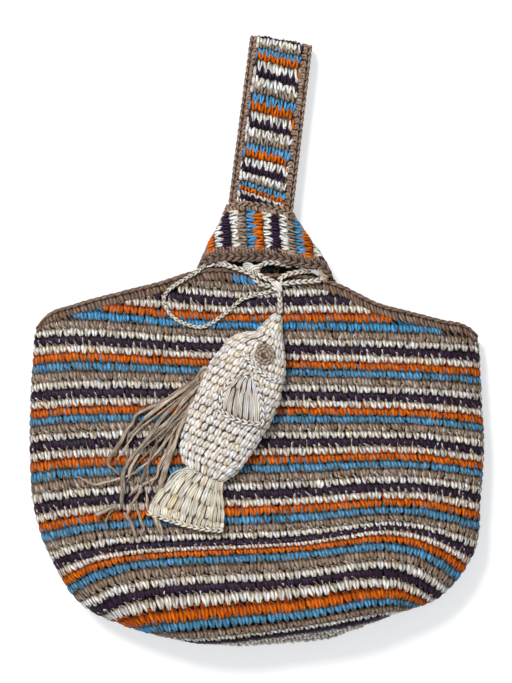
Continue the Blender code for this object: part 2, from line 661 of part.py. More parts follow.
def main():
    clear_scene()
    parts = bpy.data.collections.new("raffia_bucket_bag")
    bpy.context.scene.collection.children.link(parts)
    build_bag(parts)
    build_mouth_edging(parts)
    build_long_handle(parts)
    build_short_handle(parts)
    build_cords(parts)
    build_charm_cord(parts)
    build_fish(parts)
    build_fish_trim(parts)
    build_fringe(parts)


main()
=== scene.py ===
# %% [markdown]
# # A crocheted raffia bucket bag
#
# The bag lies on its back. Its striped body is worked in rounds of single crochet, its long
# handle is a folded strip that passes under a short one, and a stuffed fish hangs from a knot
# below the mouth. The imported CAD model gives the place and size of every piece. This lesson
# dresses it: each stitch becomes a small blob of its own, laid on the surface it belongs to.

# %% Open the frame
import math

import bpy
import numpy as np
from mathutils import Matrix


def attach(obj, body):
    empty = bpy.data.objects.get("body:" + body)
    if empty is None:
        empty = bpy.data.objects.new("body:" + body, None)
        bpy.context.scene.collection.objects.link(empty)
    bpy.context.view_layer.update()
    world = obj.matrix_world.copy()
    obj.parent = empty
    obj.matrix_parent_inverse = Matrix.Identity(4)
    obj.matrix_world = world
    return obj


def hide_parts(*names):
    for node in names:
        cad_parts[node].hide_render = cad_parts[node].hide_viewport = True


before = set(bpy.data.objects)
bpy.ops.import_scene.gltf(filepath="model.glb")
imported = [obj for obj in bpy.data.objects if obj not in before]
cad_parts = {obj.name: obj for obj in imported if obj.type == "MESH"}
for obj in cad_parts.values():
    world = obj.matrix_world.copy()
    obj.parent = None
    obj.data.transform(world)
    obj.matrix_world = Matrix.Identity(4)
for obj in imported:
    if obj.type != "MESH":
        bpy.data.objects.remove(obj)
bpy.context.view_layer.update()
MM = 0.001
rng = np.random.default_rng(7)

# %% [markdown]
# ## The camera
#
# The picture was taken from straight above. A long lens keeps the perspective faint, so that a
# millimetre at the rim covers as much of the picture as one on the raised belly.

# %% Camera
PICTURE_HEIGHT = 505.4 * MM  # what the picture's 683 rows span at the middle of the bag
LENS, SENSOR = 100.0, 24.0
MIDDLE_HEIGHT = 18 * MM
CAMERA_X, CAMERA_Y = -0.7 * MM, 0.1 * MM

camera_data = bpy.data.cameras.new("camera")
camera_data.sensor_fit = "VERTICAL"
camera_data.sensor_height = SENSOR
camera_data.lens = LENS
camera_data.clip_end = 20
camera = bpy.data.objects.new("camera", camera_data)
camera.location = (CAMERA_X, CAMERA_Y, MIDDLE_HEIGHT + PICTURE_HEIGHT * LENS / SENSOR)
bpy.context.collection.objects.link(camera)
bpy.context.scene.camera = camera
print("Camera height:", round(camera.location.z, 3))

# %% [markdown]
# ## Dyed raffia
#
# Raffia is a flat ribbon of palm leaf, crumpled as it is worked. Its fibres show as fine light
# and dark streaks that follow the strand. Every stitch stores its own colour in an attribute
# called tint, and a UV map in centimetres, whose second axis runs along the fibres. One node
# tree reads both, so that it serves every yarn.

# %% Yarn colours and the raffia finish


def srgb(red, green, blue):
    """Linear colour of a screen colour: the standard curve, channel by channel."""
    value = np.array([red, green, blue]) / 255
    return np.where(value <= 0.04045, value / 12.92, ((value + 0.055) / 1.055) ** 2.4)


YARNS = {
    "blue": srgb(96, 164, 208), "orange": srgb(238, 114, 0), "cream": srgb(255, 250, 238),
    "purple": srgb(58, 38, 62), "taupe": srgb(170, 149, 130), "edging": srgb(184, 154, 133),
    "rim": srgb(151, 125, 108), "fish": srgb(255, 254, 250), "tail": srgb(252, 248, 232),
    "cord": srgb(244, 240, 230), "eye": srgb(182, 162, 146), "fringe": srgb(196, 168, 141),
}
ROW_YARNS = ("blue", "orange", "cream", "purple", "cream", "taupe")  # row 0, 1, 2 and so on


def row_tints(rows):
    """The yarn colour of each row number, rounded to its nearest row."""
    table = np.array([YARNS[name] for name in ROW_YARNS])
    return table[np.round(rows).astype(int) % len(ROW_YARNS)]


def linked(tree, kind, inputs=None, **settings):
    """A node of that kind, with its settings made and its inputs set or linked."""
    node = tree.nodes.new(kind)
    for key, value in settings.items():
        setattr(node, key, value)
    for socket, value in (inputs or {}).items():
        if isinstance(value, bpy.types.NodeSocket):
            tree.links.new(value, node.inputs[socket])
        else:
            node.inputs[socket].default_value = value
    return node


# Streak colours: partly the fibres' own, partly a painted cool highlight and painted warm shade
DARK_STREAK, LIGHT_STREAK = np.array([1.24, 0.97, 0.62]), np.array([0.91, 1.01, 1.14])
FIBRES, FOLDS = (14, 1.8, 1), (5, 1.4, 1)  # streaks to a centimetre, across and along


def raffia(name, roughness=0.45, streaks=0.75, gloss=0.35):
    """Fibre streaks: noise stretched along the fibres colours the tint and lifts the bump.

    Light streaks are cooler than the yarn and dark ones are warmer: the fibres' own colour, with a
    painted cool highlight and painted warm shade.
    """
    finish = bpy.data.materials.new(name)
    finish.use_nodes = True
    tree = finish.node_tree
    shader = tree.nodes["Principled BSDF"]
    tint = linked(tree, "ShaderNodeAttribute", attribute_name="tint")
    uv = linked(tree, "ShaderNodeUVMap", uv_map="fibres")
    noises = []
    for scale, detail in ((FIBRES, 3.0), (FOLDS, 1.0)):
        place = linked(tree, "ShaderNodeMapping", {"Vector": uv.outputs["UV"], "Scale": scale})
        noises.append(linked(tree, "ShaderNodeTexNoise", {
            "Vector": place.outputs["Vector"], "Scale": 1.0, "Detail": detail}).outputs["Fac"])
    both = linked(tree, "ShaderNodeMath", dict(enumerate(noises)), operation="ADD")
    share = linked(tree, "ShaderNodeMapRange", {
        "Value": both.outputs["Value"], "From Min": 0.7, "From Max": 1.3})
    shade = linked(tree, "ShaderNodeMix", {
        0: share.outputs["Result"], 6: (*DARK_STREAK * (1 - streaks), 1),
        7: (*LIGHT_STREAK * (1 + 0.5 * streaks), 1)}, data_type="RGBA")
    colour = linked(tree, "ShaderNodeVectorMath", {
        0: tint.outputs["Color"], 1: shade.outputs[2]}, operation="MULTIPLY")
    relief = linked(tree, "ShaderNodeBump", {
        "Height": both.outputs["Value"], "Strength": 0.9, "Distance": 0.25 * MM})
    tree.links.new(colour.outputs["Vector"], shader.inputs["Base Color"])
    tree.links.new(relief.outputs["Normal"], shader.inputs["Normal"])
    shader.inputs["Roughness"].default_value = roughness
    shader.inputs["Specular IOR Level"].default_value = gloss
    return finish


DYED = raffia("dyed_raffia", gloss=0.12)
NATURAL = raffia("natural_raffia", roughness=0.4, streaks=0.5)
PLAIN = raffia("plain_raffia", roughness=0.38, streaks=0.8)
print("Yarns:", ", ".join(YARNS))

# %% [markdown]
# ## One blob, many times
#
# A stitch is a closed loft: a section carried along a few rings, wide in the middle and drawn
# together at both ends. The blob is made once, as numbers. Then whole arrays of places bend
# copies of it over a surface, so thousands of stitches cost one calculation.

# %% Blob templates and the mesh writer


def ring_quads(rings, count):
    """Corners of the quads between each ring and the next, facing away from the loft's axis."""
    ring = np.arange(count)
    first = np.arange(rings - 1)[:, None] * count
    a, b = first + ring, first + (ring + 1) % count
    return np.stack([a, a + count, b + count, b], axis=-1).reshape(-1, 4)


def blob(rings, section):
    """A closed loft as points (across, along, height) with its faces.

    Each ring gives along, middle, half width, low and high. A section point (c, t) lands at
    middle + c half widths across and at low + t (high - low) in height.
    """
    along, middle, half, low, high = np.array(rings, float).T[:, :, None]
    shape = np.array(section, float)
    points = np.stack(np.broadcast_arrays(
        middle + half * shape[:, 0], along, low + (high - low) * shape[:, 1]), axis=-1)
    sides = len(shape)
    cap = np.arange(sides)
    quads = ring_quads(len(rings), sides)[:, [0, 3, 2, 1]]
    loops = np.concatenate([quads.ravel(), cap[::-1], cap + (len(rings) - 1) * sides])
    return {"points": points.reshape(-1, 3), "loops": loops,
            "totals": np.array([4] * len(quads) + [sides, sides])}


# Two legs with a crease between them
LEGS = [(-1, 0.1), (-0.84, 0.68), (-0.42, 1), (0.02, 0.66), (0.44, 0.97), (0.84, 0.66), (1, 0.1),
        (0, -0.1)]
ROUND = [(-1, 0.25), (-0.6, 0.9), (0.1, 1), (0.75, 0.8), (1, 0.25), (0, -0.1)]
TOOTH = blob([
    # along, middle, half width, low, high: tip, belly, wide top, and the spike it ends in
    (-0.64, 0.06, 0.16, -1.0, 0.1), (-0.5, 0.06, 0.37, -1.0, 0.8), (-0.2, 0.03, 0.53, -1.0, 1.05),
    (0.12, -0.01, 0.61, -1.0, 0.9), (0.34, -0.07, 0.57, -1.0, 0.4), (0.52, -0.26, 0.25, -0.9, 0.55),
    (0.74, -0.36, 0.17, -0.6, 0.85), (0.98, -0.43, 0.05, 0.0, 0.85),
], LEGS)
HUMP = blob([
    (-0.6, 0.03, 0.24, -1.0, 0.2), (-0.4, 0.03, 0.48, -1.0, 0.85), (-0.08, 0.0, 0.57, -1.0, 1.0),
    (0.25, -0.02, 0.55, -1.0, 0.9), (0.48, -0.05, 0.38, -1.0, 0.5), (0.62, -0.08, 0.16, -0.9, 0.2),
], LEGS)
LINK = blob([
    (-0.72, 0, 0.22, -0.7, 0.1), (-0.42, 0, 0.82, -1, 0.8), (0, 0, 1, -1, 1),
    (0.42, 0, 0.82, -1, 0.8), (0.72, 0, 0.22, -0.7, 0.1),
], ROUND)


def write_mesh(name, points, loops, totals, tint, uv, finish):
    """A mesh object from whole arrays of points, face corners, colours and UV places."""
    mesh = bpy.data.meshes.new(name)
    mesh.vertices.add(len(points))
    mesh.vertices.foreach_set("co", points.astype(np.float32).ravel())
    mesh.loops.add(len(loops))
    mesh.loops.foreach_set("vertex_index", loops.astype(np.int32))
    mesh.polygons.add(len(totals))
    starts = np.concatenate([[0], np.cumsum(totals)[:-1]])
    mesh.polygons.foreach_set("loop_start", starts.astype(np.int32))
    mesh.update(calc_edges=True)
    mesh.polygons.foreach_set("use_smooth", np.ones(len(totals), bool))
    colours = mesh.color_attributes.new("tint", "FLOAT_COLOR", "POINT")
    rgba = np.concatenate([tint, np.ones((len(tint), 1))], axis=1)
    colours.data.foreach_set("color", rgba.astype(np.float32).ravel())
    places = mesh.uv_layers.new(name="fibres")
    places.data.foreach_set("uv", uv[loops].astype(np.float32).ravel())
    mesh.materials.append(finish)
    mesh.validate()
    made = bpy.data.objects.new(name, mesh)
    bpy.context.collection.objects.link(made)
    return made


def settle(piece, body, slot, *nodes):
    """Hang the piece on its body's empty and hide the CAD nodes that it stands for."""
    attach(piece, body)
    if nodes:
        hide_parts(*nodes)
    return piece


WARM_SHADE = (0.75, 1.0, 1.25)  # powers of the painted shade in red, green and blue
HUE_DRIFT = (0.025, 0.0, -0.05)  # how a warm stitch differs from its yarn
SHADE_SLOPE, SHADE_START = 2.6, 1.5  # how the painted light grows with height in the blob
WIDE_UV, LONG_UV = 0.55, 0.58  # centimetres of fibre for a blob's width and its length
UV_SPREAD = 40  # each blob reads its own place in the fibres


def copies(name, template, places, yarns, finish=None, variation=0.08, slant=0.5, darkest=0.01):
    """One mesh of many blobs, in one yarn or in one for each.

    places holds the points of every copy. Each copy's colour is its yarn times a random
    brightness and a little warmer or cooler, and painted shade makes it darker and warmer low in
    the blob. The UV leans, as the fibres of a stitch do.
    """
    count, each = places.shape[:2]
    own = template["points"]
    bright = 1 + rng.normal(0, variation, (count, 1, 1))
    # Painted shade: the low points of a blob, where the stitches shade it, get a darker, warmer tint
    low, high = own[:, 2].min(), own[:, 2].max()
    lit = np.clip((own[:, 2] - low) / (high - low) * SHADE_SLOPE - SHADE_START, 0, 1)
    depth = (darkest + (1 - darkest) * lit)[:, None] ** WARM_SHADE
    tint = np.atleast_2d(yarns)[:, None, :] * bright * depth
    tint = tint * (1 + rng.normal(0, 1, (count, 1, 1)) * HUE_DRIFT)
    flat = np.stack([own[:, 0] * WIDE_UV + slant * own[:, 1] * WIDE_UV, own[:, 1] * LONG_UV],
                    axis=-1)
    uv = flat[None] + rng.uniform(0, UV_SPREAD, (count, 1, 2))
    loops = (template["loops"][None] + np.arange(count)[:, None] * each).ravel()
    return write_mesh(name, places.reshape(-1, 3), loops, np.tile(template["totals"], count),
                      np.clip(tint, 0, 1).reshape(-1, 3), uv.reshape(-1, 2), finish or DYED)


CRUMPLE = (0.035, 0.025, 0.09)  # how far each point strays, in shares of the blob
SHOULDER = 0.6  # past it lies a stitch's spike


def shaken(template, count, size=0.05, turn=0.07, lift=0.06, shift=0.0, spikes=(-0.9, 0.9)):
    """The template for each copy, a little larger or smaller, turned, moved and raised at random.

    What lies past the blob's shoulder, which is a stitch's spike, is stretched at random too.
    """
    own = np.repeat(template["points"][None], count, axis=0)
    own = own + rng.normal(0, 1, own.shape) * CRUMPLE
    past = np.maximum(own[..., 1] - SHOULDER, 0)
    own[..., 1] += past * rng.uniform(*spikes, (count, 1))
    own[..., 0] += past * rng.normal(0, 0.35, (count, 1))
    own = own * (1 + rng.normal(0, size, (count, 1, 3)))
    own[..., :2] += rng.normal(0, shift, (count, 1, 2)) if shift else 0
    angle = rng.normal(0, turn, (count, 1))
    across, along = own[..., 0].copy(), own[..., 1].copy()
    own[..., 0] = across - angle * along
    own[..., 1] = along + angle * across
    own[..., 2] += rng.normal(0, lift, (count, 1))
    return own


print("Faces in a stitch:", len(TOOTH["totals"]), "and in a chain link:", len(LINK["totals"]))

# %% [markdown]
# ## The body's form
#
# The shape is the CAD bag's: rows stack from the folded base to the mouth, the front is a plane
# that rises towards the base, and the sides round down to the table. Above the last full round
# the real rows simply run out under the edging, so here they keep their height and are cut off
# by the lip.

# %% Shape of the bag
WALL = 4.5 * MM
FULL_ROUNDS = 41
LIP_ROW = 48
MOUTH_DEPTH, BASE_DEPTH = 26 * MM, 48 * MM
MOUTH_Y, BASE_Y = 50 * MM, -175 * MM
BASE_ROWS, FIRST_ROW_DEPTH = 8.8, 0.8  # rows that round the base, and how many lie below row 0
FRONT_FLAT, FRONT_POWER = 0.45, 2.2  # the flat middle of the front, and how its sides round down
BACK_FLAT, BACK_POWER = 0.75, 2.0
BACK_LIP_DROP = 3 * MM
BACK_LIP_RISE = 12 * MM  # the back lip stands higher behind the short handle
BACK_CLEARANCE = 0.7 * MM
BELOW_FIRST_ROW = 2.2 * MM  # how fast the skin runs on past row 0, for each row
# Row, x and y of its left end, x and y of its right end, and y of its middle
ROW_PLACES = np.array([
    (0, -31, -220.5, 65, -213.4, -220.8), (3, -53, -219.3, 97, -201.3, -218.6),
    (9, -120.3, -198.7, 134.4, -187.3, -180.1), (15, -149.0, -163.6, 159.2, -155.4, -145.3),
    (21, -163.6, -123.1, 164.4, -115.0, -111.3), (27, -166.9, -78.0, 166.8, -80.2, -73.9),
    (33, -166.4, -41.7, 165.5, -46.2, -38.8), (39, -164.2, -4.5, 164.0, -11.1, -4.7),
    (41, -163.5, 6.2, 163.6, 0.3, 6.4),
]) * (1, MM, MM, MM, MM, MM)
# What the rows of the belly do besides: how far the middle moves up, and a hump at the right
ROW_SHIFTS = np.array([
    (0, 0, 0), (3, 4.8, 2), (4, 4.2, 3.5), (5, 1.6, 5), (6, 1.2, 6), (7, 0.2, 6.6), (8, 2.2, 6.6),
    (9, 3, 6.6), (10, 2.8, 7), (11, 4, 7), (12, 4.8, 6.6), (13, 3.9, 7.2), (14, 1.9, 7.8),
    (15, -0.6, 7.8), (16, -1.2, 5.8), (17, -1.4, 4.8), (18, -1.2, 4.4), (19, -0.4, 3.6),
    (21, 0, 3.2), (27, 0, 1.6), (33, 0, 0), (41, 0, 0),
]) * (1, MM, MM)
# The upper edge of the front, with its edging
LIP_OUTLINE = np.array([
    (-163.5, 10.8), (-157.5, 17.2), (-133.9, 27.1), (-104.3, 35.2), (-71.7, 43.4), (-44.3, 51.9),
    (-26, 53.4), (0, 49.6), (31.9, 48.5), (58.5, 42.6), (89.6, 27.6), (112.9, 21.5),
    (136.2, 15.5), (158.5, 9.2), (163.6, 4.9),
]) * MM
EDGING_WIDTH, EDGING_CORNER_WIDTH = 7.4 * MM, 5.4 * MM
EDGING_THICKNESS = 5.2 * MM
LIP_GAP = 0.9 * MM
TUCKED_IN = 0.8 * MM  # how far the rows run on under the edging
# Middle and width of the back lip's rise, and of the rows' humps at the left and at the right
BACK_RISE, LEFT_HUMP, RIGHT_HUMP = (6 * MM, 42 * MM), (-140 * MM, 58 * MM), (107 * MM, 54 * MM)
LEFT_HUMP_HEIGHT, LEFT_HUMP_ROWS = 6 * MM, (31, 41)  # it grows from the first of the rows on
RIGHT_HUMP_SHARE = 1.2


def smooth(at, places, values):
    """Cubic Hermite curve through (places, values), read at each of at."""
    at = np.clip(np.asarray(at, float), places[0], places[-1])
    slopes = np.gradient(values, places, axis=0)
    i = np.clip(np.searchsorted(places, at, side="right") - 1, 0, len(places) - 2)
    width = places[i + 1] - places[i]
    t = (at - places[i]) / width
    a = (1 + 2 * t) * (1 - t) ** 2
    b = t * (1 - t) ** 2
    c = t * t * (3 - 2 * t)
    d = t * t * (t - 1)
    return a * values[i] + b * width * slopes[i] + c * values[i + 1] + d * width * slopes[i + 1]


def columns_at(at, table):
    """Each further column of a table, read at places in its first one."""
    return [smooth(at, table[:, 0], table[:, k]) for k in range(1, table.shape[1])]


def bell(x, middle, width):
    """exp(-((x - middle) / width)^2), which is 1 at the middle."""
    return np.exp(-((x - middle) / width) ** 2)


def unit(vectors):
    """The same directions with length 1."""
    return vectors / np.maximum(np.linalg.norm(vectors, axis=-1, keepdims=True), 1e-9)


def front_height(y):
    """Height of the bag's front: a plane through the two stated depths."""
    return MOUTH_DEPTH + (BASE_DEPTH - MOUTH_DEPTH) * (MOUTH_Y - y) / (MOUTH_Y - BASE_Y)


def side_profile(across, flat, power):
    """1 over the flat middle, then (1 - p^power)^(1/power) down to 0 at the side."""
    past = np.clip((np.abs(across) - flat) / (1 - flat), 0, 1)
    return (1 - past ** power) ** (1 / power)


def shell_height(across, front, y, fullness):
    """Height of the outer skin: up or down from the middle height by the side profile."""
    top = front_height(y)
    up = top / 2 * side_profile(across, FRONT_FLAT, FRONT_POWER)
    down = (top / 2 - BACK_CLEARANCE) * side_profile(across, BACK_FLAT, BACK_POWER)
    return top / 2 + fullness * np.where(front, up, -down)


def edging_width(across):
    """The edging narrows towards the mouth's corners with the sixth power of across."""
    return EDGING_CORNER_WIDTH + (EDGING_WIDTH - EDGING_CORNER_WIDTH) * (1 - np.abs(across) ** 6)


def lip_height(x, across, front):
    """Where the bag's own top row ends, below the edging."""
    rise = BACK_LIP_RISE * bell(x, *BACK_RISE)
    drop = np.where(front, 0, BACK_LIP_DROP * (1 - np.abs(across) ** 6) - rise)
    return columns_at(x, LIP_OUTLINE)[0] - drop - edging_width(across) - LIP_GAP


def row_line(row, across):
    """x and y of a full row: a chord, raised by rise (1 - |across|^5), and a hump at each side."""
    left_x, left_y, right_x, right_y, middle_y = columns_at(row, ROW_PLACES)
    middle_shift, right_hump = columns_at(row, ROW_SHIFTS)
    share = (across + 1) / 2
    x = left_x + (right_x - left_x) * share
    rise = middle_y + middle_shift - (left_y + right_y) / 2
    grown = np.clip((row - LEFT_HUMP_ROWS[0]) / (LEFT_HUMP_ROWS[1] - LEFT_HUMP_ROWS[0]), 0, 1)
    hump = LEFT_HUMP_HEIGHT * bell(x, *LEFT_HUMP) * grown
    hump = hump + right_hump * RIGHT_HUMP_SHARE * bell(x, *RIGHT_HUMP) * (1 - across ** 6)
    y = left_y + (right_y - left_y) * share + rise * (1 - np.abs(across) ** 5) + hump
    return x, y + np.minimum(row, 0) * BELOW_FIRST_ROW


def short_row_pitch(x):
    """The short rows at the mouth lie closest together at the middle."""
    return (5.6 + 0.8 * np.clip(np.abs(x + 12 * MM) / (60 * MM), 0, 1)) * MM


def skin(row, angle, cut=True):
    """The outer skin at a row and an angle, which starts at the right and runs over the front.

    Past the full rounds, rows go on at their own pitch, and the lip cuts them off.
    """
    row, angle = np.broadcast_arrays(np.asarray(row, float), np.asarray(angle, float))
    across = np.cos(angle)
    front = np.sin(angle) >= 0
    x, y = row_line(np.minimum(row, FULL_ROUNDS), across)
    y = y + np.maximum(row - FULL_ROUNDS, 0) * short_row_pitch(x)
    if cut:
        y = np.minimum(y, lip_height(x, across, front) + TUCKED_IN)
    filled = np.clip((row + FIRST_ROW_DEPTH) / BASE_ROWS, 0, 1)
    return np.stack([x, y, shell_height(across, front, y, np.sin(filled * math.pi / 2))], axis=-1)


def skin_normal(row, angle):
    """Outward: the slope along the rows crossed with the slope round them."""
    turn = math.radians(3)
    along = skin(row + 0.25, angle, False) - skin(np.maximum(row - 0.25, -0.6), angle, False)
    return unit(np.cross(along, skin(row, angle + turn, False) - skin(row, angle - turn, False)))


def arc_length(points):
    """Distance along a line of points, from its first one."""
    steps = np.linalg.norm(np.diff(points, axis=0), axis=1)
    return np.concatenate([[0], np.cumsum(steps)])


FINE_ANGLES = np.linspace(0, 2 * math.pi, 1441)
print("Round of the belly:", round(arc_length(skin(27, FINE_ANGLES))[-1] * 1000), "mm")

# %% [markdown]
# ## The wall behind the stitches
#
# Between real stitches one looks into shadow, at the backs of the strands. A closed wall lies
# just over a millimetre under the skin, painted nearly black outside as that shadow. Inside it
# shows the rows again in painted shade, as the inside of the bag does at the mouth.

# %% Wall
UNDER = 1.25 * MM  # from the skin to the wall's outer face
INSIDE_DEPTH, INSIDE_RIDGE = WALL - 0.4 * MM, 0.35 * MM  # to its inner face, and the ridges there
OUTSIDE_SHADE, INSIDE_SHADE = 0.015, 0.45  # of the yarn's colour: painted shadow between the stitches, and painted shade inside the bag
LOWEST = 0.2 * MM  # no point of the wall is nearer the ground
WALL_COLUMNS = 120


def cap_corners(strip):
    """Corners of a cap's faces: a row of quads, the first and the last of them a triangle."""
    return np.concatenate([strip[0, :3], strip[1:-1].ravel(), strip[-1, [0, 1, 3]]])


def wall_points(rows, angle, depth):
    """Points that deep under the skin, cut off by the lip, and the row number at each."""
    across, front = np.cos(angle), np.sin(angle) >= 0
    full = np.minimum(rows, FULL_ROUNDS)[:, None]
    points = skin(full, angle, False)
    normal = skin_normal(full, angle)
    share = np.clip((rows - FULL_ROUNDS) / (LIP_ROW - FULL_ROUNDS), 0, 1)[:, None]
    lip = lip_height(points[..., 0], across, front)
    y = np.minimum(points[..., 1], lip)
    y = y + share * (lip - y)
    short = rows[:, None] >= FULL_ROUNDS
    number = full + (y - points[..., 1]) / short_row_pitch(points[..., 0]) * short
    points[..., 2] += short * (shell_height(across, front, y, 1.0)
                               - shell_height(across, front, points[..., 1], 1.0))
    points[..., 1] = y
    points = points - normal * depth
    points[..., 2] = np.maximum(points[..., 2], LOWEST)
    return points, number


def build_wall():
    """Rings up the outside and down the inside, and a cap across each end."""
    count, half = WALL_COLUMNS, WALL_COLUMNS // 2
    angle = np.arange(count) * 2 * math.pi / count
    rows = np.concatenate([np.arange(0, FULL_ROUNDS), np.linspace(FULL_ROUNDS, LIP_ROW, 8)])
    outer, number = wall_points(rows, angle, UNDER)
    inner_rows = np.arange(LIP_ROW, 3.9, -0.5)
    ridge = np.where(inner_rows % 1 == 0, INSIDE_RIDGE, 0)[:, None, None]
    inner, inner_number = wall_points(inner_rows, angle, INSIDE_DEPTH + ridge)
    points = np.concatenate([outer.reshape(-1, 3), inner.reshape(-1, 3)])
    tint = np.concatenate([row_tints(number).reshape(-1, 3) * OUTSIDE_SHADE,
                           row_tints(inner_number).reshape(-1, 3) * INSIDE_SHADE])
    rings = len(rows) + len(inner_rows)
    quads = ring_quads(rings, count)
    j = np.arange(half)
    strip = np.stack([j, j + 1, (count - j - 1) % count, (count - j) % count], axis=-1)
    loops = np.concatenate([quads.ravel(), cap_corners(strip),
                            cap_corners(strip[:, ::-1]) + (rings - 1) * count])
    totals = np.array([4] * len(quads) + ([3] + [4] * (half - 2) + [3]) * 2)
    uv = np.stack([np.tile(angle * 16, rings), np.repeat(np.arange(rings) * 0.55, count)], axis=-1)
    return write_mesh("bag_wall", points, loops, totals, tint, uv, DYED)


wall = settle(build_wall(), "bag", "striped_raffia", "bag_body")
print("Wall faces:", len(wall.data.polygons))

# %% [markdown]
# ## The rounds of single crochet
#
# Each stitch is a tooth: broad under the next row, pointed where it dips into the row below,
# with a spike of yarn that pokes up between two teeth of the row above. Stitches stand on the
# round at even distances. Their points are read on the skin itself, so a stitch bends with it.

# %% Stitches of the body
STITCH = 5.5 * MM
STITCH_HEIGHT = 1.4 * MM
SAME_COUNT_FROM = 13  # rounds above the base all have as many stitches
ROW_LEAN = -0.12  # how far each round's stitches move along, in stitches
# Width and length of each yarn's stitches, and how much their spikes may grow
STITCH_SIZES = {"cream": (1.04, 0.97), "taupe": (1.06, 1.0), "blue": (1.06, 1.0),
                "orange": (1.08, 1.0), "purple": (1.2, 1.08)}
SPIKES, BASE_SPIKES = (-0.9, 0.6), (-1.1, -0.5)
STITCH_SHAKE = (0.07, 0.1, 0.08, 0.04)  # spread of its size, turn, lift and shift
VIVID_ROWS = 40  # from this row on, the blue yarn is stronger
VIVID = np.array([0.75, 1.1, 1.25])

body_count = round(arc_length(skin(27, FINE_ANGLES))[-1] / STITCH)


def row_stripe(row):
    """Which stripe a row belongs to. The first two rows, under the base, are cream."""
    return row % len(ROW_YARNS) if row > 1 else ROW_YARNS.index("cream")


def stitch_centres(row, along, count):
    """Even distances along a row's round, without those that lie past the lip."""
    centre = (np.arange(count) + 0.5 + row * ROW_LEAN) % count * (along[-1] / count)
    if row <= FULL_ROUNDS - 6:
        return centre
    angle = np.interp(centre, along, FINE_ANGLES)
    place = skin(row, angle, False)
    lip = lip_height(place[:, 0], np.cos(angle), np.sin(angle) >= 0)
    return centre[place[:, 1] < lip + 1.0 * MM]


def row_of_stitches(row):
    """Points of a row's stitches.

    A stitch bends along its round. Across it, it runs square to the round, as long as the
    rows are far apart there.
    """
    along = arc_length(skin(row, FINE_ANGLES, False))
    upper = row >= SAME_COUNT_FROM
    count = body_count if upper else round(along[-1] / STITCH)
    pitch = along[-1] / count
    centre = stitch_centres(row, along, count)
    own = shaken(TOOTH, len(centre), *STITCH_SHAKE, SPIKES if upper else BASE_SPIKES)
    own[..., :2] *= STITCH_SIZES[ROW_YARNS[row_stripe(row)]]
    angle = np.interp((centre[:, None] - own[..., 0] * pitch) % along[-1], along, FINE_ANGLES)
    place, normal = skin(row, angle, False), skin_normal(row, angle)
    turn = math.radians(1)
    round_it = skin(row, angle - turn, False) - skin(row, angle + turn, False)
    square = unit(np.cross(normal, round_it))
    apart = skin(row + 0.5, angle, False) - skin(row - 0.5, angle, False)
    reach = np.sum(apart * square, axis=-1, keepdims=True)
    points = place + square * own[..., 1:2] * reach + normal * own[..., 2:] * STITCH_HEIGHT
    lip = lip_height(points[..., 0], np.cos(angle), np.sin(angle) >= 0)
    points[..., 1] = np.minimum(points[..., 1], lip + TUCKED_IN)
    points[..., 2] = np.maximum(points[..., 2], 0.1 * MM)
    return points


def build_stitches():
    """One piece for each stripe of the pattern, from all of its rows."""
    rows = [(row, row_of_stitches(row)) for row in range(LIP_ROW + 1)]
    triangles = int(np.sum(TOOTH["totals"] - 2))
    for stripe, yarn in enumerate(ROW_YARNS):
        own_rows = [(row, p) for row, p in rows if row_stripe(row) == stripe]
        points = np.concatenate([p for _, p in own_rows])
        vivid = np.concatenate([np.full(len(p), yarn == "blue" and row > VIVID_ROWS)
                                for row, p in own_rows])
        tints = YARNS[yarn] * np.where(vivid[:, None], VIVID, 1.0)
        piece = copies(f"bag_{yarn}_stitches_{stripe + 1}", TOOTH, points, tints)
        settle(piece, "bag", "striped_raffia", "bag_body")
        print(yarn, "stitches:", len(points), "triangles:", len(points) * triangles)


build_stitches()

# %% [markdown]
# ## Chains
#
# A crocheted chain shows a row of Vs: two links side by side, leaning towards each other. The
# same links edge the mouth, the handles and the tail, and make up every cord. A chain follows a
# line of points, and the normals say which way is up.

# %% Chain maker


UP = np.array([0.0, 0.0, 1.0])


def line_frame(points, normals=UP):
    """Two directions at each point of a line, square to it: up, near the normal, and sideways."""
    tangent = unit(np.gradient(points, axis=0))
    side = unit(np.cross(tangent, normals))
    return np.cross(side, tangent), side


def read(at, along, values):
    """Each column of values, read at the distances at."""
    return np.stack([np.interp(at, along, column) for column in values.T], axis=-1)


def chain_points(points, normals, pitch, width, height, lean, legs, closed, slit):
    """Points of every link: along and across its leg, turned by lean, then laid on the line.

    Two legs lie slit widths apart.
    """
    along = arc_length(points)
    up, side = line_frame(points, normals)
    count = max(2, round(along[-1] / pitch))
    step = along[-1] / count
    centre = (np.arange(count) + 0.5) * step
    two = len(legs) > 1
    half = 0.3 - slit / 2 if two else 0.5
    found = []
    for leg in legs:
        own = shaken(LINK, count, 0.04, 0.05, 0.04)
        if leg > 0:
            own[..., 0] *= -1
        length, across = own[..., 1] * step, own[..., 0] * width * half
        turn = lean * leg if two else lean
        at = centre[:, None] + length * math.cos(turn) + across * math.sin(turn)
        out = across * math.cos(turn) - length * math.sin(turn)
        out = out + leg * width * (0.23 + slit / 2) if two else out
        at = at % along[-1] if closed else np.clip(at, 0, along[-1])
        found.append(read(at, along, points) + read(at, along, side) * out[..., None]
                     + read(at, along, up) * (own[..., 2] * height)[..., None])
    return found


MIRRORED_LINK = {
    "points": LINK["points"] * (-1, 1, 1), "totals": LINK["totals"],
    "loops": np.concatenate([part[::-1] for part in np.split(
        LINK["loops"], np.cumsum(LINK["totals"])[:-1])]),
}


def chain(name, points, normals, pitch, width, height, yarn, lean, legs=(-1, 1), closed=False,
          finish=None, slit=0.0):
    """A chain as one mesh. The links of a right leg are mirrored."""
    parts = chain_points(points, normals, pitch, width, height, lean, legs, closed, slit)
    made = []
    for leg, part in zip(legs, parts):
        template = MIRRORED_LINK if leg > 0 else LINK
        made.append(copies(f"{name}_{len(made)}", template, part,
                           YARNS[yarn], finish, 0.07, 0.1, 0.07))
    return join(name, made)


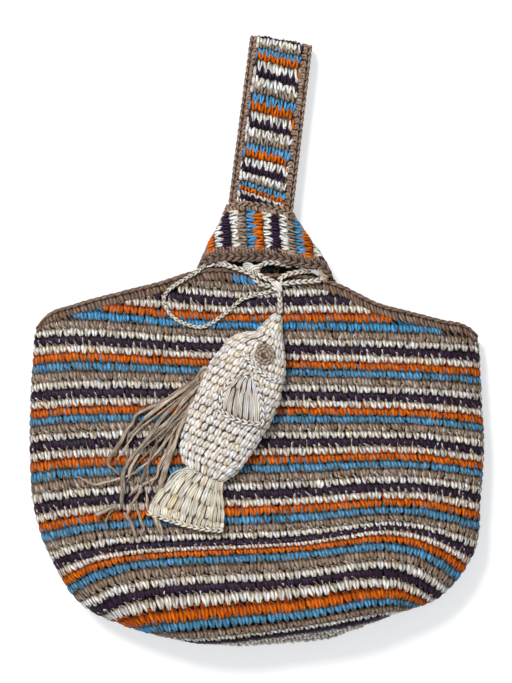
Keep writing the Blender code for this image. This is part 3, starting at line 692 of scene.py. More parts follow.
def join(name, pieces):
    """One mesh object from several, in the order given."""
    bpy.ops.object.select_all(action="DESELECT")
    for piece in pieces:
        piece.select_set(True)
    bpy.context.view_layer.objects.active = pieces[0]
    bpy.ops.object.join()
    pieces[0].name = name
    pieces[0].data.name = name
    return pieces[0]


print("Points in a link:", len(LINK["points"]))

# %% [markdown]
# ## The edging round the mouth
#
# Taupe single crochet stands on the last rows, finished by a chain that lies along the rim. A
# core, painted dark as the shade inside the edging, fills the thickness between its front and its
# back.

# %% Mouth edging
BARE_FROM, BARE_TO = -20 * MM, -2 * MM  # here the blue row below shows through the border
EDGING_SECTION = [(0.0, 0.55), (0.45, 0.62), (0.85, 0.45), (0.85, -0.45), (0.45, -0.62), (0.0, -0.55)]
EDGING_CHAINS = [  # place up the edging and to its outside, and width in millimetres
    (0.86, 0.66, 2.3), (1.02, 0.2, 2.6), (0.98, -0.3, 2.6), (0.7, -0.75, 3)]
TEETH_MIDDLE, TEETH_LENGTH, TEETH_SIDE = 0.3, 0.92, 0.62  # as shares of the edging


def edging_point(angle, up, side):
    """A point of the edging: up its width from the lip, and side half thicknesses outwards."""
    across, front = np.cos(angle), np.sin(angle) >= 0
    x, _ = row_line(FULL_ROUNDS, across)
    lip = lip_height(x, across, front)
    place = np.stack([x, lip, shell_height(across, front, lip, 1.0)], axis=-1)
    out = skin_normal(FULL_ROUNDS, angle)
    point = place + out * (side * EDGING_THICKNESS - WALL) / 2
    y = lip + LIP_GAP + up * edging_width(across)
    point[..., 1] += y - lip
    point[..., 2] += shell_height(across, front, y, 1.0) - place[..., 2]
    return point, out


def edging_core():
    """A ring with the edging's section, painted dark as shade."""
    count, sides = 240, len(EDGING_SECTION)
    angle = np.arange(count) * 2 * math.pi / count
    rings = np.stack([edging_point(angle, up, side)[0] for up, side in EDGING_SECTION], axis=1)
    j, k = np.meshgrid(np.arange(count), np.arange(sides), indexing="ij")
    a, b = j * sides, (j + 1) % count * sides
    n = (k + 1) % sides
    quads = np.stack([a + k, a + n, b + n, b + k], axis=-1).reshape(-1, 4)
    total = count * sides
    return write_mesh("core", rings.reshape(-1, 3), quads.ravel(), np.full(len(quads), 4),
                      np.tile(YARNS["rim"] * 0.2, (total, 1)), np.zeros((total, 2)), DYED)


def edging_teeth():
    """A row of leaning stitches, which moves up where the blue row shows below it."""
    line, _ = edging_point(FINE_ANGLES, 0, 1)
    along = arc_length(line)
    stitches = round(along[-1] / STITCH)
    pitch = along[-1] / stitches
    centre = (np.arange(stitches) + 0.5) * pitch
    own = shaken(HUMP, stitches, 0.07, 0.12, 0.08, 0.03)
    lean = own[..., 0] - 0.3 * own[..., 1]
    angles = np.interp((centre[:, None] - lean * pitch) % along[-1], along, FINE_ANGLES)
    points, out = edging_point(angles, TEETH_MIDDLE + own[..., 1] * TEETH_LENGTH, TEETH_SIDE)
    points = points + out * (own[..., 2] * 0.9 * MM)[..., None]
    middle = points.mean(axis=1)
    bare = (middle[:, 0] > BARE_FROM) & (middle[:, 0] < BARE_TO) & (middle[:, 2] > MOUTH_DEPTH / 2)
    lower = points[bare] + np.array([0, -0.5, 0.6]) * MM
    points[bare, :, 1] += 2.4 * MM
    return copies("teeth", HUMP, np.concatenate([points, lower]), np.concatenate([
        np.tile(YARNS["rim"], (stitches, 1)), np.tile(YARNS["blue"] * VIVID, (len(lower), 1))]))


def build_mouth_edging():
    """The core, the teeth outside it and four lines of links on its rim."""
    parts = [edging_core(), edging_teeth()]
    for up, side, wide in EDGING_CHAINS:
        line, out = edging_point(FINE_ANGLES[::-1], up, side)
        tilt = out * side + np.array([0, 1, 0]) * up * 0.7
        parts.append(chain("rim", line, tilt, STITCH * 0.98, wide * MM, 1.15 * MM, "rim",
                           0.25, (-1,), True))
    return join("mouth_edging_stitches", parts)


settle(build_mouth_edging(), "bag", "edging_raffia", "mouth_edging")

# %% [markdown]
# ## Laying stitches on any surface
#
# The handles, the fish and its tail are surfaces with two coordinates: one to the right, one up.
# A surface is a function that gives places and outward directions. Stitches are laid on it with
# their centres, sizes and a number of quarter turns. Slabs and lofts make what lies beneath.

# %% Stitches, slabs and lofts
LONG_RINGS = [
    (-0.62, 0.05, 0.16, -1.0, 0.1), (-0.46, 0.05, 0.42, -1.0, 0.85), (-0.1, 0.0, 0.53, -1.0, 1.0),
    (0.2, -0.03, 0.52, -1.0, 0.95), (0.46, -0.05, 0.40, -1.0, 0.75), (0.62, -0.06, 0.15, -1.0, 0.1)]
BUNDLE = blob(LONG_RINGS, [  # a few strands side by side
    (-1, 0.1), (-0.82, 0.72), (-0.56, 0.92), (-0.36, 0.66), (-0.08, 1), (0.2, 0.7), (0.5, 0.96),
    (0.82, 0.7), (1, 0.1), (0, -0.1)])


def paired(first, second):
    """One template from two closed lofts."""
    return {"points": np.concatenate([first["points"], second["points"]]),
            "loops": np.concatenate([first["loops"], second["loops"] + len(first["points"])]),
            "totals": np.concatenate([first["totals"], second["totals"]])}


# The stitch of the handles: two legs that meet in a point, which reaches between the next
# row's points
POINTED = paired(*[blob([
    (-0.84, side * 0.08, 0.13, -1.0, 0.25), (-0.6, side * 0.14, 0.22, -1.0, 0.9),
    (-0.25, side * 0.2, 0.26, -1.0, 1.05), (0.12, side * 0.26, 0.27, -1.0, 1.0),
    (0.40, side * 0.31, 0.24, -1.0, 0.75), (0.60, side * 0.34, 0.13, -1.0, 0.1),
], ROUND) for side in (-1, 1)])


def lay(surface, template, centres, sizes, height, quarters, shake):
    """Copies of a template on a surface, turned by quarter turns in their own plane.

    centres are (N, 2) in the surface's coordinates, sizes (2,) or (N, 1, 2) likewise. shake is
    the spread of their size, turn, lift and shift.
    """
    own = shaken(template, len(centres), *shake)
    for _ in range(quarters):
        own[..., :2] = np.stack([-own[..., 1], own[..., 0]], axis=-1)
    at = centres[:, None] + own[..., :2] * sizes
    place, out = surface(at[..., 0], at[..., 1])
    return place + out * own[..., 2:] * height


def crossed(first, second):
    """Every pair of the two lists, as (N, 2)."""
    return np.stack(np.meshgrid(first, second, indexing="ij"), axis=-1).reshape(-1, 2)


def volume(points, quads):
    """Volume inside closed quads: the sum of a . (b x c) / 6 over their triangles."""
    a, b, c, d = (points[quads[:, k]] for k in range(4))
    return (np.sum(a * np.cross(b, c)) + np.sum(a * np.cross(c, d))) / 6


def slab(name, top, bottom, top_tint, bottom_tint, finish=None):
    """A closed slab between two grids of points of the same size."""
    rows, columns = top.shape[:2]
    size = rows * columns
    points = np.concatenate([top.reshape(-1, 3), bottom.reshape(-1, 3)])
    i, j = np.meshgrid(np.arange(rows - 1), np.arange(columns - 1), indexing="ij")
    a = (i * columns + j).ravel()
    face = np.stack([a, a + 1, a + columns + 1, a + columns], axis=-1)
    edge = np.concatenate([
        np.arange(columns), np.arange(1, rows) * columns + columns - 1,
        (rows - 1) * columns + np.arange(columns - 2, -1, -1), np.arange(rows - 2, 0, -1) * columns])
    after = np.roll(edge, -1)
    rim = np.stack([after, edge, edge + size, after + size], axis=-1)
    quads = np.concatenate([face, face[:, ::-1] + size, rim])
    quads = quads if volume(points, quads) > 0 else quads[:, ::-1]
    tint = np.concatenate([np.broadcast_to(t, top.shape).reshape(-1, 3)
                           for t in (top_tint, bottom_tint)])
    return write_mesh(name, points, quads.ravel(), np.full(len(quads), 4), tint,
                      points[:, :2] * 100, finish or DYED)


def lofts(name, bodies, tints, finish=None):
    """Closed tubes, each from its rings of points (rings, sides, 3), in one mesh."""
    points, loops, totals, colours, places = [], [], [], [], []
    start = 0
    for rings, tint in zip(bodies, tints):
        count, sides = rings.shape[:2]
        quads = ring_quads(count, sides)
        if volume(rings.reshape(-1, 3), quads) < 0:
            rings = rings[:, ::-1]
        cap = np.arange(sides)
        points.append(rings.reshape(-1, 3))
        loops.append(np.concatenate([quads.ravel(), cap, cap[::-1] + (count - 1) * sides]) + start)
        totals.append(np.concatenate([np.full(len(quads), 4), [sides, sides]]))
        colours.append(np.broadcast_to(tint, (count * sides, 3)))
        along = arc_length(rings.mean(axis=1)) * 100 + start
        places.append(np.stack([np.tile(np.linspace(0, 0.5, sides), count) + start,
                                np.repeat(along, sides)], axis=-1))
        start += count * sides
    return write_mesh(name, np.concatenate(points), np.concatenate(loops), np.concatenate(totals),
                      np.concatenate(colours), np.concatenate(places), finish or NATURAL)


ROPE_STEP = 0.6 * MM


def through(route, step=ROPE_STEP):
    """A Catmull-Rom curve through the route's points, read every step metres."""
    route = np.asarray(route, float)
    ends = np.concatenate([[2 * route[0] - route[1]], route, [2 * route[-1] - route[-2]]])
    a, b, c, d = ends[:-3, None], ends[1:-2, None], ends[2:-1, None], ends[3:, None]
    t = np.linspace(0, 1, 12, endpoint=False)[None, :, None]
    fine = 0.5 * (2 * b + (c - a) * t + (2 * a - 5 * b + 4 * c - d) * t ** 2
                  + (3 * b - a - 3 * c + d) * t ** 3)
    fine = np.concatenate([fine.reshape(-1, 3), route[-1:]])
    along = arc_length(fine)
    at = np.linspace(0, along[-1], max(2, round(along[-1] / step) + 1))
    return read(at, along, fine)


def rope(route, radius):
    """Rings of a slightly flat strand through the route's points, drawn together at its ends."""
    line = through(route)
    up, side = line_frame(line)
    share = np.linspace(0, 1, len(line))
    turn = np.linspace(0, 2 * math.pi, 8, endpoint=False)
    wide = radius * np.clip(np.minimum(share, 1 - share) * 9 + 0.3, 0, 1)
    return line[:, None] + wide[:, None, None] * (
        np.cos(turn)[None, :, None] * side[:, None]
        + 0.8 * np.sin(turn)[None, :, None] * up[:, None])


POINTED_HEIGHT = 1.25 * MM
CORE_FRONT_SHADE, CORE_BACK_SHADE = 0.12, 0.75  # painted shade: the share of the stripes' colour on a handle's core, under the stitches and on its inner face
print("Faces in a handle stitch:", len(POINTED["totals"]))

# %% [markdown]
# ## The long handle
#
# A strip folded in half: it leaves the bag's back, lies on the table, folds over at the top and
# comes back over itself. Its rows are counted from the fold. On the upper layer each row's place
# was read off the picture. Every other row points the other way, so the rows interlock.

# %% Shape of the long handle
CLEARANCE = 0.3 * MM
RIDGE = 0.7 * MM
STRIP_THICKNESS = 4 * MM
HANDLE_BOTTOM = np.array([-6.5, 24]) * MM
HANDLE_TOP = np.array([18.1, 222.6]) * MM
HANDLE_LONG = np.linalg.norm(HANDLE_TOP - HANDLE_BOTTOM)
HANDLE_LEFT, HANDLE_RIGHT = -18 * MM, 16.7 * MM  # where the stripes end, from the middle line
HANDLE_EDGES = (-24.5 * MM, 24.3 * MM)
HAND_LOOP = 6 * MM
HANDLE_TUCK_END = 64 * MM
HANDLE_TUCK_WIDTH = 0.78
HANDLE_SPREAD = 14 * MM
HANDLE_TOP_WIDTH = 0.94
FOLD_LEAN = 0.04  # the fold slopes down to the right
FOLD_ROWS = np.array([0, 5.2, 9.2, 12.9, 17.5]) * MM  # past the crest, purple first
# Distance of the next rows from the handle's lower end
UPPER_ROWS = np.array([179.1, 173.2, 167.2, 160.9, 154.9, 148, 141.1, 135.9, 129.9, 124, 118.7,
                       113.5, 107.5, 102.3, 96.4, 93.4, 89.6, 85.5, 82.9, 80]) * MM
TUCKED_ROW, UNDER_ROW = 5 * MM, 5.9 * MM
# Degrees by which the rows tilt, at these distances past the fold
TILT_PLACES, ROW_TILTS = np.array([0, 20, 90, 125]) * MM, (0, 5, 5, 12)
HANDLE_BACKING = 1.7 * MM  # from the strip's middle to its inner face
HANDLE_SHAKE = (0.12, 0.14, 0.12, 0.04)  # spread of a stitch's size, turn, lift and shift


def tucked_height():
    """Middle height of a strip that lies on the bag's back lip."""
    return RIDGE + WALL / 2 + EDGING_THICKNESS / 2 + CLEARANCE + RIDGE / 2 + STRIP_THICKNESS / 2


def handle_line():
    """Distance along the folded strip's middle, with its distance up the handle and its height."""
    low = STRIP_THICKNESS / 2 + CLEARANCE + 0.6 * MM
    high = low + STRIP_THICKNESS + HAND_LOOP
    sewn = tucked_height()
    fold = (high - low) / 2
    stacked = sewn + STRIP_THICKNESS + 3 * CLEARANCE
    under = [(0, sewn), (14 * MM, sewn), (30 * MM, sewn), (52 * MM, (sewn + low) / 2), (70 * MM, low)]
    run = np.linspace(90 * MM, HANDLE_LONG - fold, 7)
    turn = np.linspace(-80, 80, 7) * math.pi / 180
    points = under + [(x, low) for x in run]
    points += [(HANDLE_LONG - fold + fold * math.cos(a), low + fold + fold * math.sin(a))
               for a in turn]
    points += [(x, high) for x in run[::-1]]
    points += [(70 * MM, high + 0.4 * MM), (48 * MM, high + 0.6 * MM), (30 * MM, stacked)]
    points += [(14 * MM, stacked), (0, stacked)]
    points = np.array(points)
    along = arc_length(points)
    at = np.linspace(0, along[-1], 1600)
    return at, np.stack([smooth(at, along, points[:, k]) for k in range(2)], axis=1)


STRIP_AT, STRIP = handle_line()
STRIP_SLOPE = unit(np.gradient(STRIP, axis=0))
CREST = STRIP_AT[np.argmax(STRIP[:, 0])]


def strip_place(side, at, proud):
    """A place on the strip: side to its right, at along it, proud of its middle towards outside."""
    up, height = (np.interp(at, STRIP_AT, STRIP[:, k]) for k in (0, 1))
    slope_up, slope_height = (np.interp(at, STRIP_AT, STRIP_SLOPE[:, k]) for k in (0, 1))
    north = (HANDLE_TOP - HANDLE_BOTTOM) / HANDLE_LONG
    east = np.array([north[1], -north[0]])
    spread = np.clip((up - HANDLE_TUCK_END) / HANDLE_SPREAD, 0, 1)
    width = HANDLE_TUCK_WIDTH + (1 - HANDLE_TUCK_WIDTH) * spread ** 2 * (3 - 2 * spread)
    width = width * (1 + (HANDLE_TOP_WIDTH - 1) * up / HANDLE_LONG)
    up = up + slope_height * proud - FOLD_LEAN * side * up / HANDLE_LONG
    flat = HANDLE_BOTTOM + up[..., None] * north + (width * side)[..., None] * east
    out = np.concatenate([slope_height[..., None] * north, -slope_up[..., None]], axis=-1)
    return np.concatenate([flat, (height - slope_up * proud)[..., None]], axis=-1), out


def strap(side, back):
    """The surface that upright stitches stand on: back is minus the distance along the strip."""
    return strip_place(side, -back, 1.0 * MM)


def leaning_strap(side, back):
    """The same, with the rows' tilt: the right side lies further on by side tan(tilt)."""
    tilt = np.interp(-back - CREST, TILT_PLACES, ROW_TILTS)
    return strap(side, back - side * np.tan(np.radians(tilt)))


def handle_rows():
    """Where each row runs along the strip, and its number, which is 3 on the crest."""
    upper = STRIP_AT > CREST
    read_off = np.interp(-UPPER_ROWS, -STRIP[upper, 0], STRIP_AT[upper])
    tucked = np.arange(read_off[-1] + TUCKED_ROW, STRIP_AT[-1] - 2 * MM, TUCKED_ROW)
    under = np.arange(CREST - UNDER_ROW, 3 * MM, -UNDER_ROW)[::-1]
    at = np.concatenate([under, CREST + FOLD_ROWS, read_off, tucked])
    return at, np.arange(len(at)) - len(under) + 3


print("Strip:", round(STRIP_AT[-1] * 1000), "mm, its crest at", round(CREST * 1000), "mm")

# %% Long handle
HANDLE_STITCHES = 7
LEFT_FLOATS = {1: "blue", 3: "cream", 4: "cream", 5: "cream"}  # yarn carried past these rows
RIGHT_FLOATS = {2: "orange", 4: "purple"}
WHISKERS = [  # loose ends at the fold: x, y and height in millimetres
    [(19.9, 220.5, 9), (20.1, 223, 10.4), (19.9, 225.6, 11)],
    [(26.2, 219, 9), (27.2, 221.4, 10.6), (28.8, 223.4, 11), (29.6, 221, 10.4), (29, 219, 9)]]
# Below this distance up the handle, the strip's upper layer is painted in shade
MOUTH_SHADE_END = 52 * MM
BORDER_CHAIN, BORDER_PITCH = 4.3 * MM, 4.7 * MM  # width of the border's chain, and its stitches


def in_mouth(at):
    """Painted shade on the strip: nearly dark where it has passed under the short handle."""
    inside = (at > CREST) & (np.interp(at, STRIP_AT, STRIP[:, 0]) < MOUTH_SHADE_END)
    return np.where(inside, 0.12, 1.0)[:, None]


def handle_stitches(at, numbers, pitch):
    """The rows of stitches, every other one turned round."""
    wide = (HANDLE_RIGHT - HANDLE_LEFT) / HANDLE_STITCHES
    across = HANDLE_LEFT + (np.arange(HANDLE_STITCHES) + 0.5) * wide
    made = []
    for odd, quarters in ((0, 0), (1, 2)):
        chosen = numbers % 2 == odd
        centres = crossed(-at[chosen], across + (0.25 - 0.5 * odd) * wide)[:, ::-1]
        sizes = np.stack([np.full(len(centres), wide),
                          np.repeat(pitch[chosen], HANDLE_STITCHES)], axis=-1)[:, None]
        points = lay(leaning_strap, POINTED, centres, sizes, POINTED_HEIGHT, quarters,
                     HANDLE_SHAKE)
        tints = row_tints(numbers[chosen]) * in_mouth(at[chosen])
        made.append(copies("rows", POINTED, points, np.repeat(tints, HANDLE_STITCHES, axis=0)))
    return made


def carried_yarn(at, numbers, pitch):
    """Yarn that passes some rows beside the stitches, at the left and at the right."""
    made = []
    for floats, side in ((LEFT_FLOATS, HANDLE_LEFT), (RIGHT_FLOATS, HANDLE_RIGHT)):
        chosen = np.isin(numbers % 6, list(floats))
        centres = np.stack([np.full(chosen.sum(), side), -at[chosen]], axis=-1)
        sizes = np.stack([np.full(chosen.sum(), 1.5 * MM), pitch[chosen] * 0.95], axis=-1)[:, None]
        points = lay(leaning_strap, LINK, centres, sizes, 1.9 * MM, 0, (0.2, 0.35, 0.1, 0.1))
        tints = np.array([YARNS[floats[number % 6]] for number in numbers[chosen]])
        made.append(copies("floats", LINK, points, tints * in_mouth(at[chosen])))
    return made


def handle_core(at, numbers):
    """A slab beneath the stitches, ridged on its inner face and coloured in rows in painted shade:
    dark under the stitches, lighter inside.
    """
    run = np.linspace(0, STRIP_AT[-1], 420)
    edges = np.linspace(HANDLE_EDGES[0] + 1.5 * MM, HANDLE_EDGES[1] - 1.5 * MM, 5)
    side, along = np.meshgrid(edges, run)
    nearest = numbers[np.abs(run[:, None] - at).argmin(axis=1)]
    tint = np.repeat((row_tints(nearest) * in_mouth(run))[:, None], len(edges), axis=1)
    tint[:, [0, -1]] = YARNS["edging"]
    ridge = 0.3 * MM * np.cos(2 * math.pi * np.interp(along, at, np.arange(len(at))))
    inside = strip_place(side, along, -HANDLE_BACKING - ridge)[0]
    return slab("core", strip_place(side, along, 0.8 * MM)[0], inside,
                tint * CORE_FRONT_SHADE, tint * CORE_BACK_SHADE)


def build_long_handle():
    """Stitches, carried yarn beside them, a core beneath and loose ends at the fold."""
    at, numbers = handle_rows()
    pitch = np.gradient(at)
    parts = handle_stitches(at, numbers, pitch) + carried_yarn(at, numbers, pitch)
    parts.append(handle_core(at, numbers))
    whiskers = [rope(np.array(route) * MM, 0.32 * MM) for route in WHISKERS]
    parts.append(lofts("whiskers", whiskers, [YARNS["edging"] * 0.8] * len(whiskers), DYED))
    return join("long_handle_stitches", parts)


def build_handle_edging(name, inner, outer):
    """A row of posts across the border and a two-strand chain along its outer edge."""
    left = outer < inner
    rim = outer - math.copysign(BORDER_CHAIN / 2, outer)
    post = abs(rim - inner) - 0.25 * BORDER_CHAIN
    count = round(STRIP_AT[-1] / BORDER_PITCH)
    back = -(np.arange(count) + 0.5) * STRIP_AT[-1] / count
    middle = inner + math.copysign(post / 2 + 0.3 * MM, outer)
    centres = np.stack([np.full(count, middle), back], axis=-1)
    sizes = np.array([post * 1.05, STRIP_AT[-1] / count])
    posts = lay(strap, HUMP, centres, sizes, 1.0 * MM, 1 if left else 3, (0.12, 0.2, 0.15, 0.07))
    tints = YARNS["edging"] * in_mouth(-back)
    parts = [copies("posts", HUMP, posts, tints)]
    run = np.linspace(0, STRIP_AT[-1], 900)
    line, out = strip_place(rim, run, 0)
    parts.append(chain("rim", line, out, BORDER_PITCH, BORDER_CHAIN, 1.95 * MM, "edging", 0.3,
                       slit=0.11))
    return join(name, parts)


settle(build_long_handle(), "bag", "striped_raffia", "long_handle")
for hand, inner, outer in (("left", HANDLE_LEFT, HANDLE_EDGES[0]),
                           ("right", HANDLE_RIGHT, HANDLE_EDGES[1])):
    settle(build_handle_edging(f"long_handle_{hand}_edging", inner, outer), "bag",
           "edging_raffia", f"long_handle_edging_{hand}")

# %% [markdown]
# ## The short handle
#
# A second striped strip arches over the long one, with its ends inside the mouth. Its stripes run
# down it at even distances, so more of them show where it widens. A table turns distance along
# the arch into the share of the arch, for every height of the band.

# %% Shape of the short handle
BAND_TOP_WIDTH, BAND_BOTTOM_WIDTH = 51.5 * MM, 110.5 * MM
BAND_TOP_MIDDLE_X, BAND_BOTTOM_MIDDLE_X = 2.2 * MM, 6.3 * MM
BAND_UPPER_EDGE = np.array([
    (-26, 100), (-15.5, 103.2), (1.6, 102.5), (9.7, 101), (17.1, 99.5), (28, 94.5)]) * MM
BAND_LOWER_EDGE = np.array([
    (-48, 49), (-39, 55.8), (-30.6, 59.6), (-11.8, 59.3), (14.7, 59.0), (26, 57), (37, 54.8),
    (48.7, 52.5), (58.5, 44.2)]) * MM
BAND_CROWN = np.array([20.2, 21, 21.8]) * MM
BAND_TUCK = 16 * MM
BAND_STRIPES_UP = (0.2, 0.845)  # where the stripes end, as shares of the band's height
MIDDLE_STRIPE_X = (3.0 * MM, 0.1 * MM)  # the middle orange stripe, at the lower and upper edge
BAND_STRIPE = 6.1 * MM


def band_place(across, down):
    """The band's middle surface, across from its left end to its right one, as in the CAD model."""
    across, down = np.broadcast_arrays(across, down)
    across = np.clip(across, 0, 1)
    width = BAND_TOP_WIDTH + (BAND_BOTTOM_WIDTH - BAND_TOP_WIDTH) * np.clip(down, 0, 2) ** 1.15
    middle = BAND_TOP_MIDDLE_X + (BAND_BOTTOM_MIDDLE_X - BAND_TOP_MIDDLE_X) * down
    x = middle - np.cos(across * math.pi) * (width - STRIP_THICKNESS) / 2
    top = smooth(x, BAND_UPPER_EDGE[:, 0], BAND_UPPER_EDGE[:, 1])
    bottom = smooth(x, BAND_LOWER_EDGE[:, 0], BAND_LOWER_EDGE[:, 1])
    bottom = bottom - BAND_TUCK * np.abs(2 * across - 1) ** 8
    tuck = tucked_height()
    crown = smooth(down, np.array([0, 0.5, 1.0]), BAND_CROWN)
    foot = smooth(down, np.array([0, 0.45, 0.7, 1.0]), np.array([3.2 * MM, 5.2 * MM, tuck, tuck]))
    arch = np.sin(across * math.pi) ** 0.3
    return np.stack([x, top + (bottom - top) * down, foot + (crown - foot) * arch], axis=-1)


def band_out(across, down):
    """Outward direction, from the slopes along and across the band."""
    step = 0.004
    across, down = np.clip(across, step, 1 - step), np.clip(down, step, 1 - step)
    along = band_place(across + step, down) - band_place(across - step, down)
    below = band_place(across, down + step) - band_place(across, down - step)
    return unit(np.cross(below, along))


BAND_UPS = np.linspace(0, 1, 31)
BAND_ARCS = np.linspace(-80, 80, 161) * MM


def band_tables():
    """Share of the arch for each distance from the middle stripe, at each height up the band."""
    share = np.linspace(0, 1, 301)
    table, ends = [], []
    for up, x in zip(BAND_UPS, np.linspace(*MIDDLE_STRIPE_X, len(BAND_UPS))):
        line = band_place(share, 1 - up)
        arc = arc_length(line)
        arc -= np.interp(x, line[:, 0], arc)
        table.append(np.interp(BAND_ARCS, arc, share))
        ends.append((arc[0], arc[-1]))
    return np.array(table), np.array(ends)


BAND_TABLE, BAND_ENDS = band_tables()


def band_share(arc, up):
    """The table, read between its entries in both directions."""
    row = np.clip(np.asarray(up) * (len(BAND_UPS) - 1), 0, len(BAND_UPS) - 1.001)
    column = np.clip((arc - BAND_ARCS[0]) / (BAND_ARCS[1] - BAND_ARCS[0]), 0, len(BAND_ARCS) - 1.001)
    i, j = row.astype(int), column.astype(int)
    s, t = row - i, column - j
    lower = BAND_TABLE[i, j] * (1 - t) + BAND_TABLE[i, j + 1] * t
    upper = BAND_TABLE[i + 1, j] * (1 - t) + BAND_TABLE[i + 1, j + 1] * t
    return lower * (1 - s) + upper * s


def band(arc, up):
    """The band's surface: arc to the right of the middle stripe, up from its lower edge."""
    share = band_share(arc, up)
    out = band_out(share, 1 - up)
    return band_place(share, 1 - up) + out * 1.0 * MM, out


print("Arch at the lower edge:", np.round(BAND_ENDS[0] * 1000), "mm")

# %% Short handle
STRIPE_WIDTHS = np.array([1.0, 1.12, 0.84, 1.16, 0.84, 1.05])  # of the stripes' stitches
FIRST_STRIPE, LAST_STRIPE = -14, 15  # counted from the middle one
STRIPE_STITCHES = 6


def build_band():
    """Stripes of stitches on a core in painted shade: the stripes' colours, dark under the stitches
    and lighter inside.
    """
    low, high = BAND_STRIPES_UP
    tall = (high - low) / STRIPE_STITCHES
    ups = low + (np.arange(STRIPE_STITCHES) + 0.5) * tall
    parts = []
    for odd, quarters in ((0, 1), (1, 3)):
        numbers = np.arange(FIRST_STRIPE + 1 - odd, LAST_STRIPE + 1, 2)
        centres = crossed(numbers * BAND_STRIPE, ups + (0.25 - 0.5 * odd) * tall)
        ends = np.stack([np.interp(centres[:, 1], BAND_UPS, BAND_ENDS[:, k]) for k in (0, 1)])
        inside = (centres[:, 0] > ends[0] + 1 * MM) & (centres[:, 0] < ends[1] - 1 * MM)
        stripe = np.repeat(numbers + 1, STRIPE_STITCHES)[inside] % len(ROW_YARNS)
        sizes = np.stack([BAND_STRIPE * STRIPE_WIDTHS[stripe], np.full(len(stripe), tall)], axis=-1)
        points = lay(band, POINTED, centres[inside], sizes[:, None], POINTED_HEIGHT,
                     quarters, (0.1, 0.14, 0.12, 0.04))
        parts.append(copies("stripes", POINTED, points, row_tints(stripe)))
    share, down = np.meshgrid(np.linspace(0, 1, 181), np.linspace(0.03, 0.97, 24), indexing="ij")
    middle, out = band_place(share, down), band_out(share, down)
    nearest = np.round((1 - down[0]) * (len(BAND_UPS) - 1)).astype(int)
    arc = np.stack([np.interp(share[:, k], BAND_TABLE[up], BAND_ARCS)
                    for k, up in enumerate(nearest)], axis=1)
    tint = row_tints(arc / BAND_STRIPE + 1)
    tint[(down > 1 - low) | (down < 1 - high)] = YARNS["edging"]
    parts.append(slab("core", middle + out * 0.8 * MM, middle - out * 1.9 * MM,
                      tint * CORE_FRONT_SHADE, tint * CORE_BACK_SHADE))
    return join("short_handle_stitches", parts)


def band_line(up):
    """Points and directions along the whole arch, at one height up the band."""
    share = np.linspace(0, 1, 500)
    return band_place(share, 1 - up), band_out(share, 1 - up)


def band_row(template, up, tall, pitch, quarters=0, yarn="edging"):
    """One row of upright stitches along the arch."""
    left, right = (np.interp(up, BAND_UPS, BAND_ENDS[:, k]) for k in (0, 1))
    count = round((right - left) / pitch)
    arcs = left + (np.arange(count) + 0.5) * (right - left) / count
    centres = np.stack([arcs, np.full(count, up)], axis=-1)
    points = lay(band, template, centres, np.array([pitch, tall]), 1.1 * MM, quarters,
                 (0.08, 0.1, 0.08, 0.04))
    return copies("row", template, points, YARNS[yarn])


def build_band_edgings():
    """Below the stripes a row of stitches, a chain and the rim; above them posts and a chain."""
    lower = [band_row(HUMP, 0.205, 0.1, 4.9 * MM),
             band_row(HUMP, 0.15, 0.08, 4.9 * MM, 2, "rim")]
    line, out = band_line(0.075)
    lower.append(chain("rim", line, out, 5.2 * MM, 5.6 * MM, 1.7 * MM, "rim", 0.5, slit=0.06))
    line, out = band_line(0.005)
    lower.append(chain("rim", line, out, 4.6 * MM, 2.0 * MM, 1.7 * MM, "rim", 0.3, (1,)))
    upper = [band_row(HUMP, 0.885, 0.085, 4.6 * MM, 2)]
    line, out = band_line(0.965)
    upper.append(chain("rim", line, out, 4.6 * MM, 3.4 * MM, 1.9 * MM, "edging", 0.4))
    return join("short_handle_lower_edging", lower), join("short_handle_upper_edging", upper)


settle(build_band(), "bag", "striped_raffia", "short_handle")
lower_edging, upper_edging = build_band_edgings()
settle(lower_edging, "bag", "edging_raffia", "short_handle_edging_lower")
settle(upper_edging, "bag", "edging_raffia", "short_handle_edging_upper")
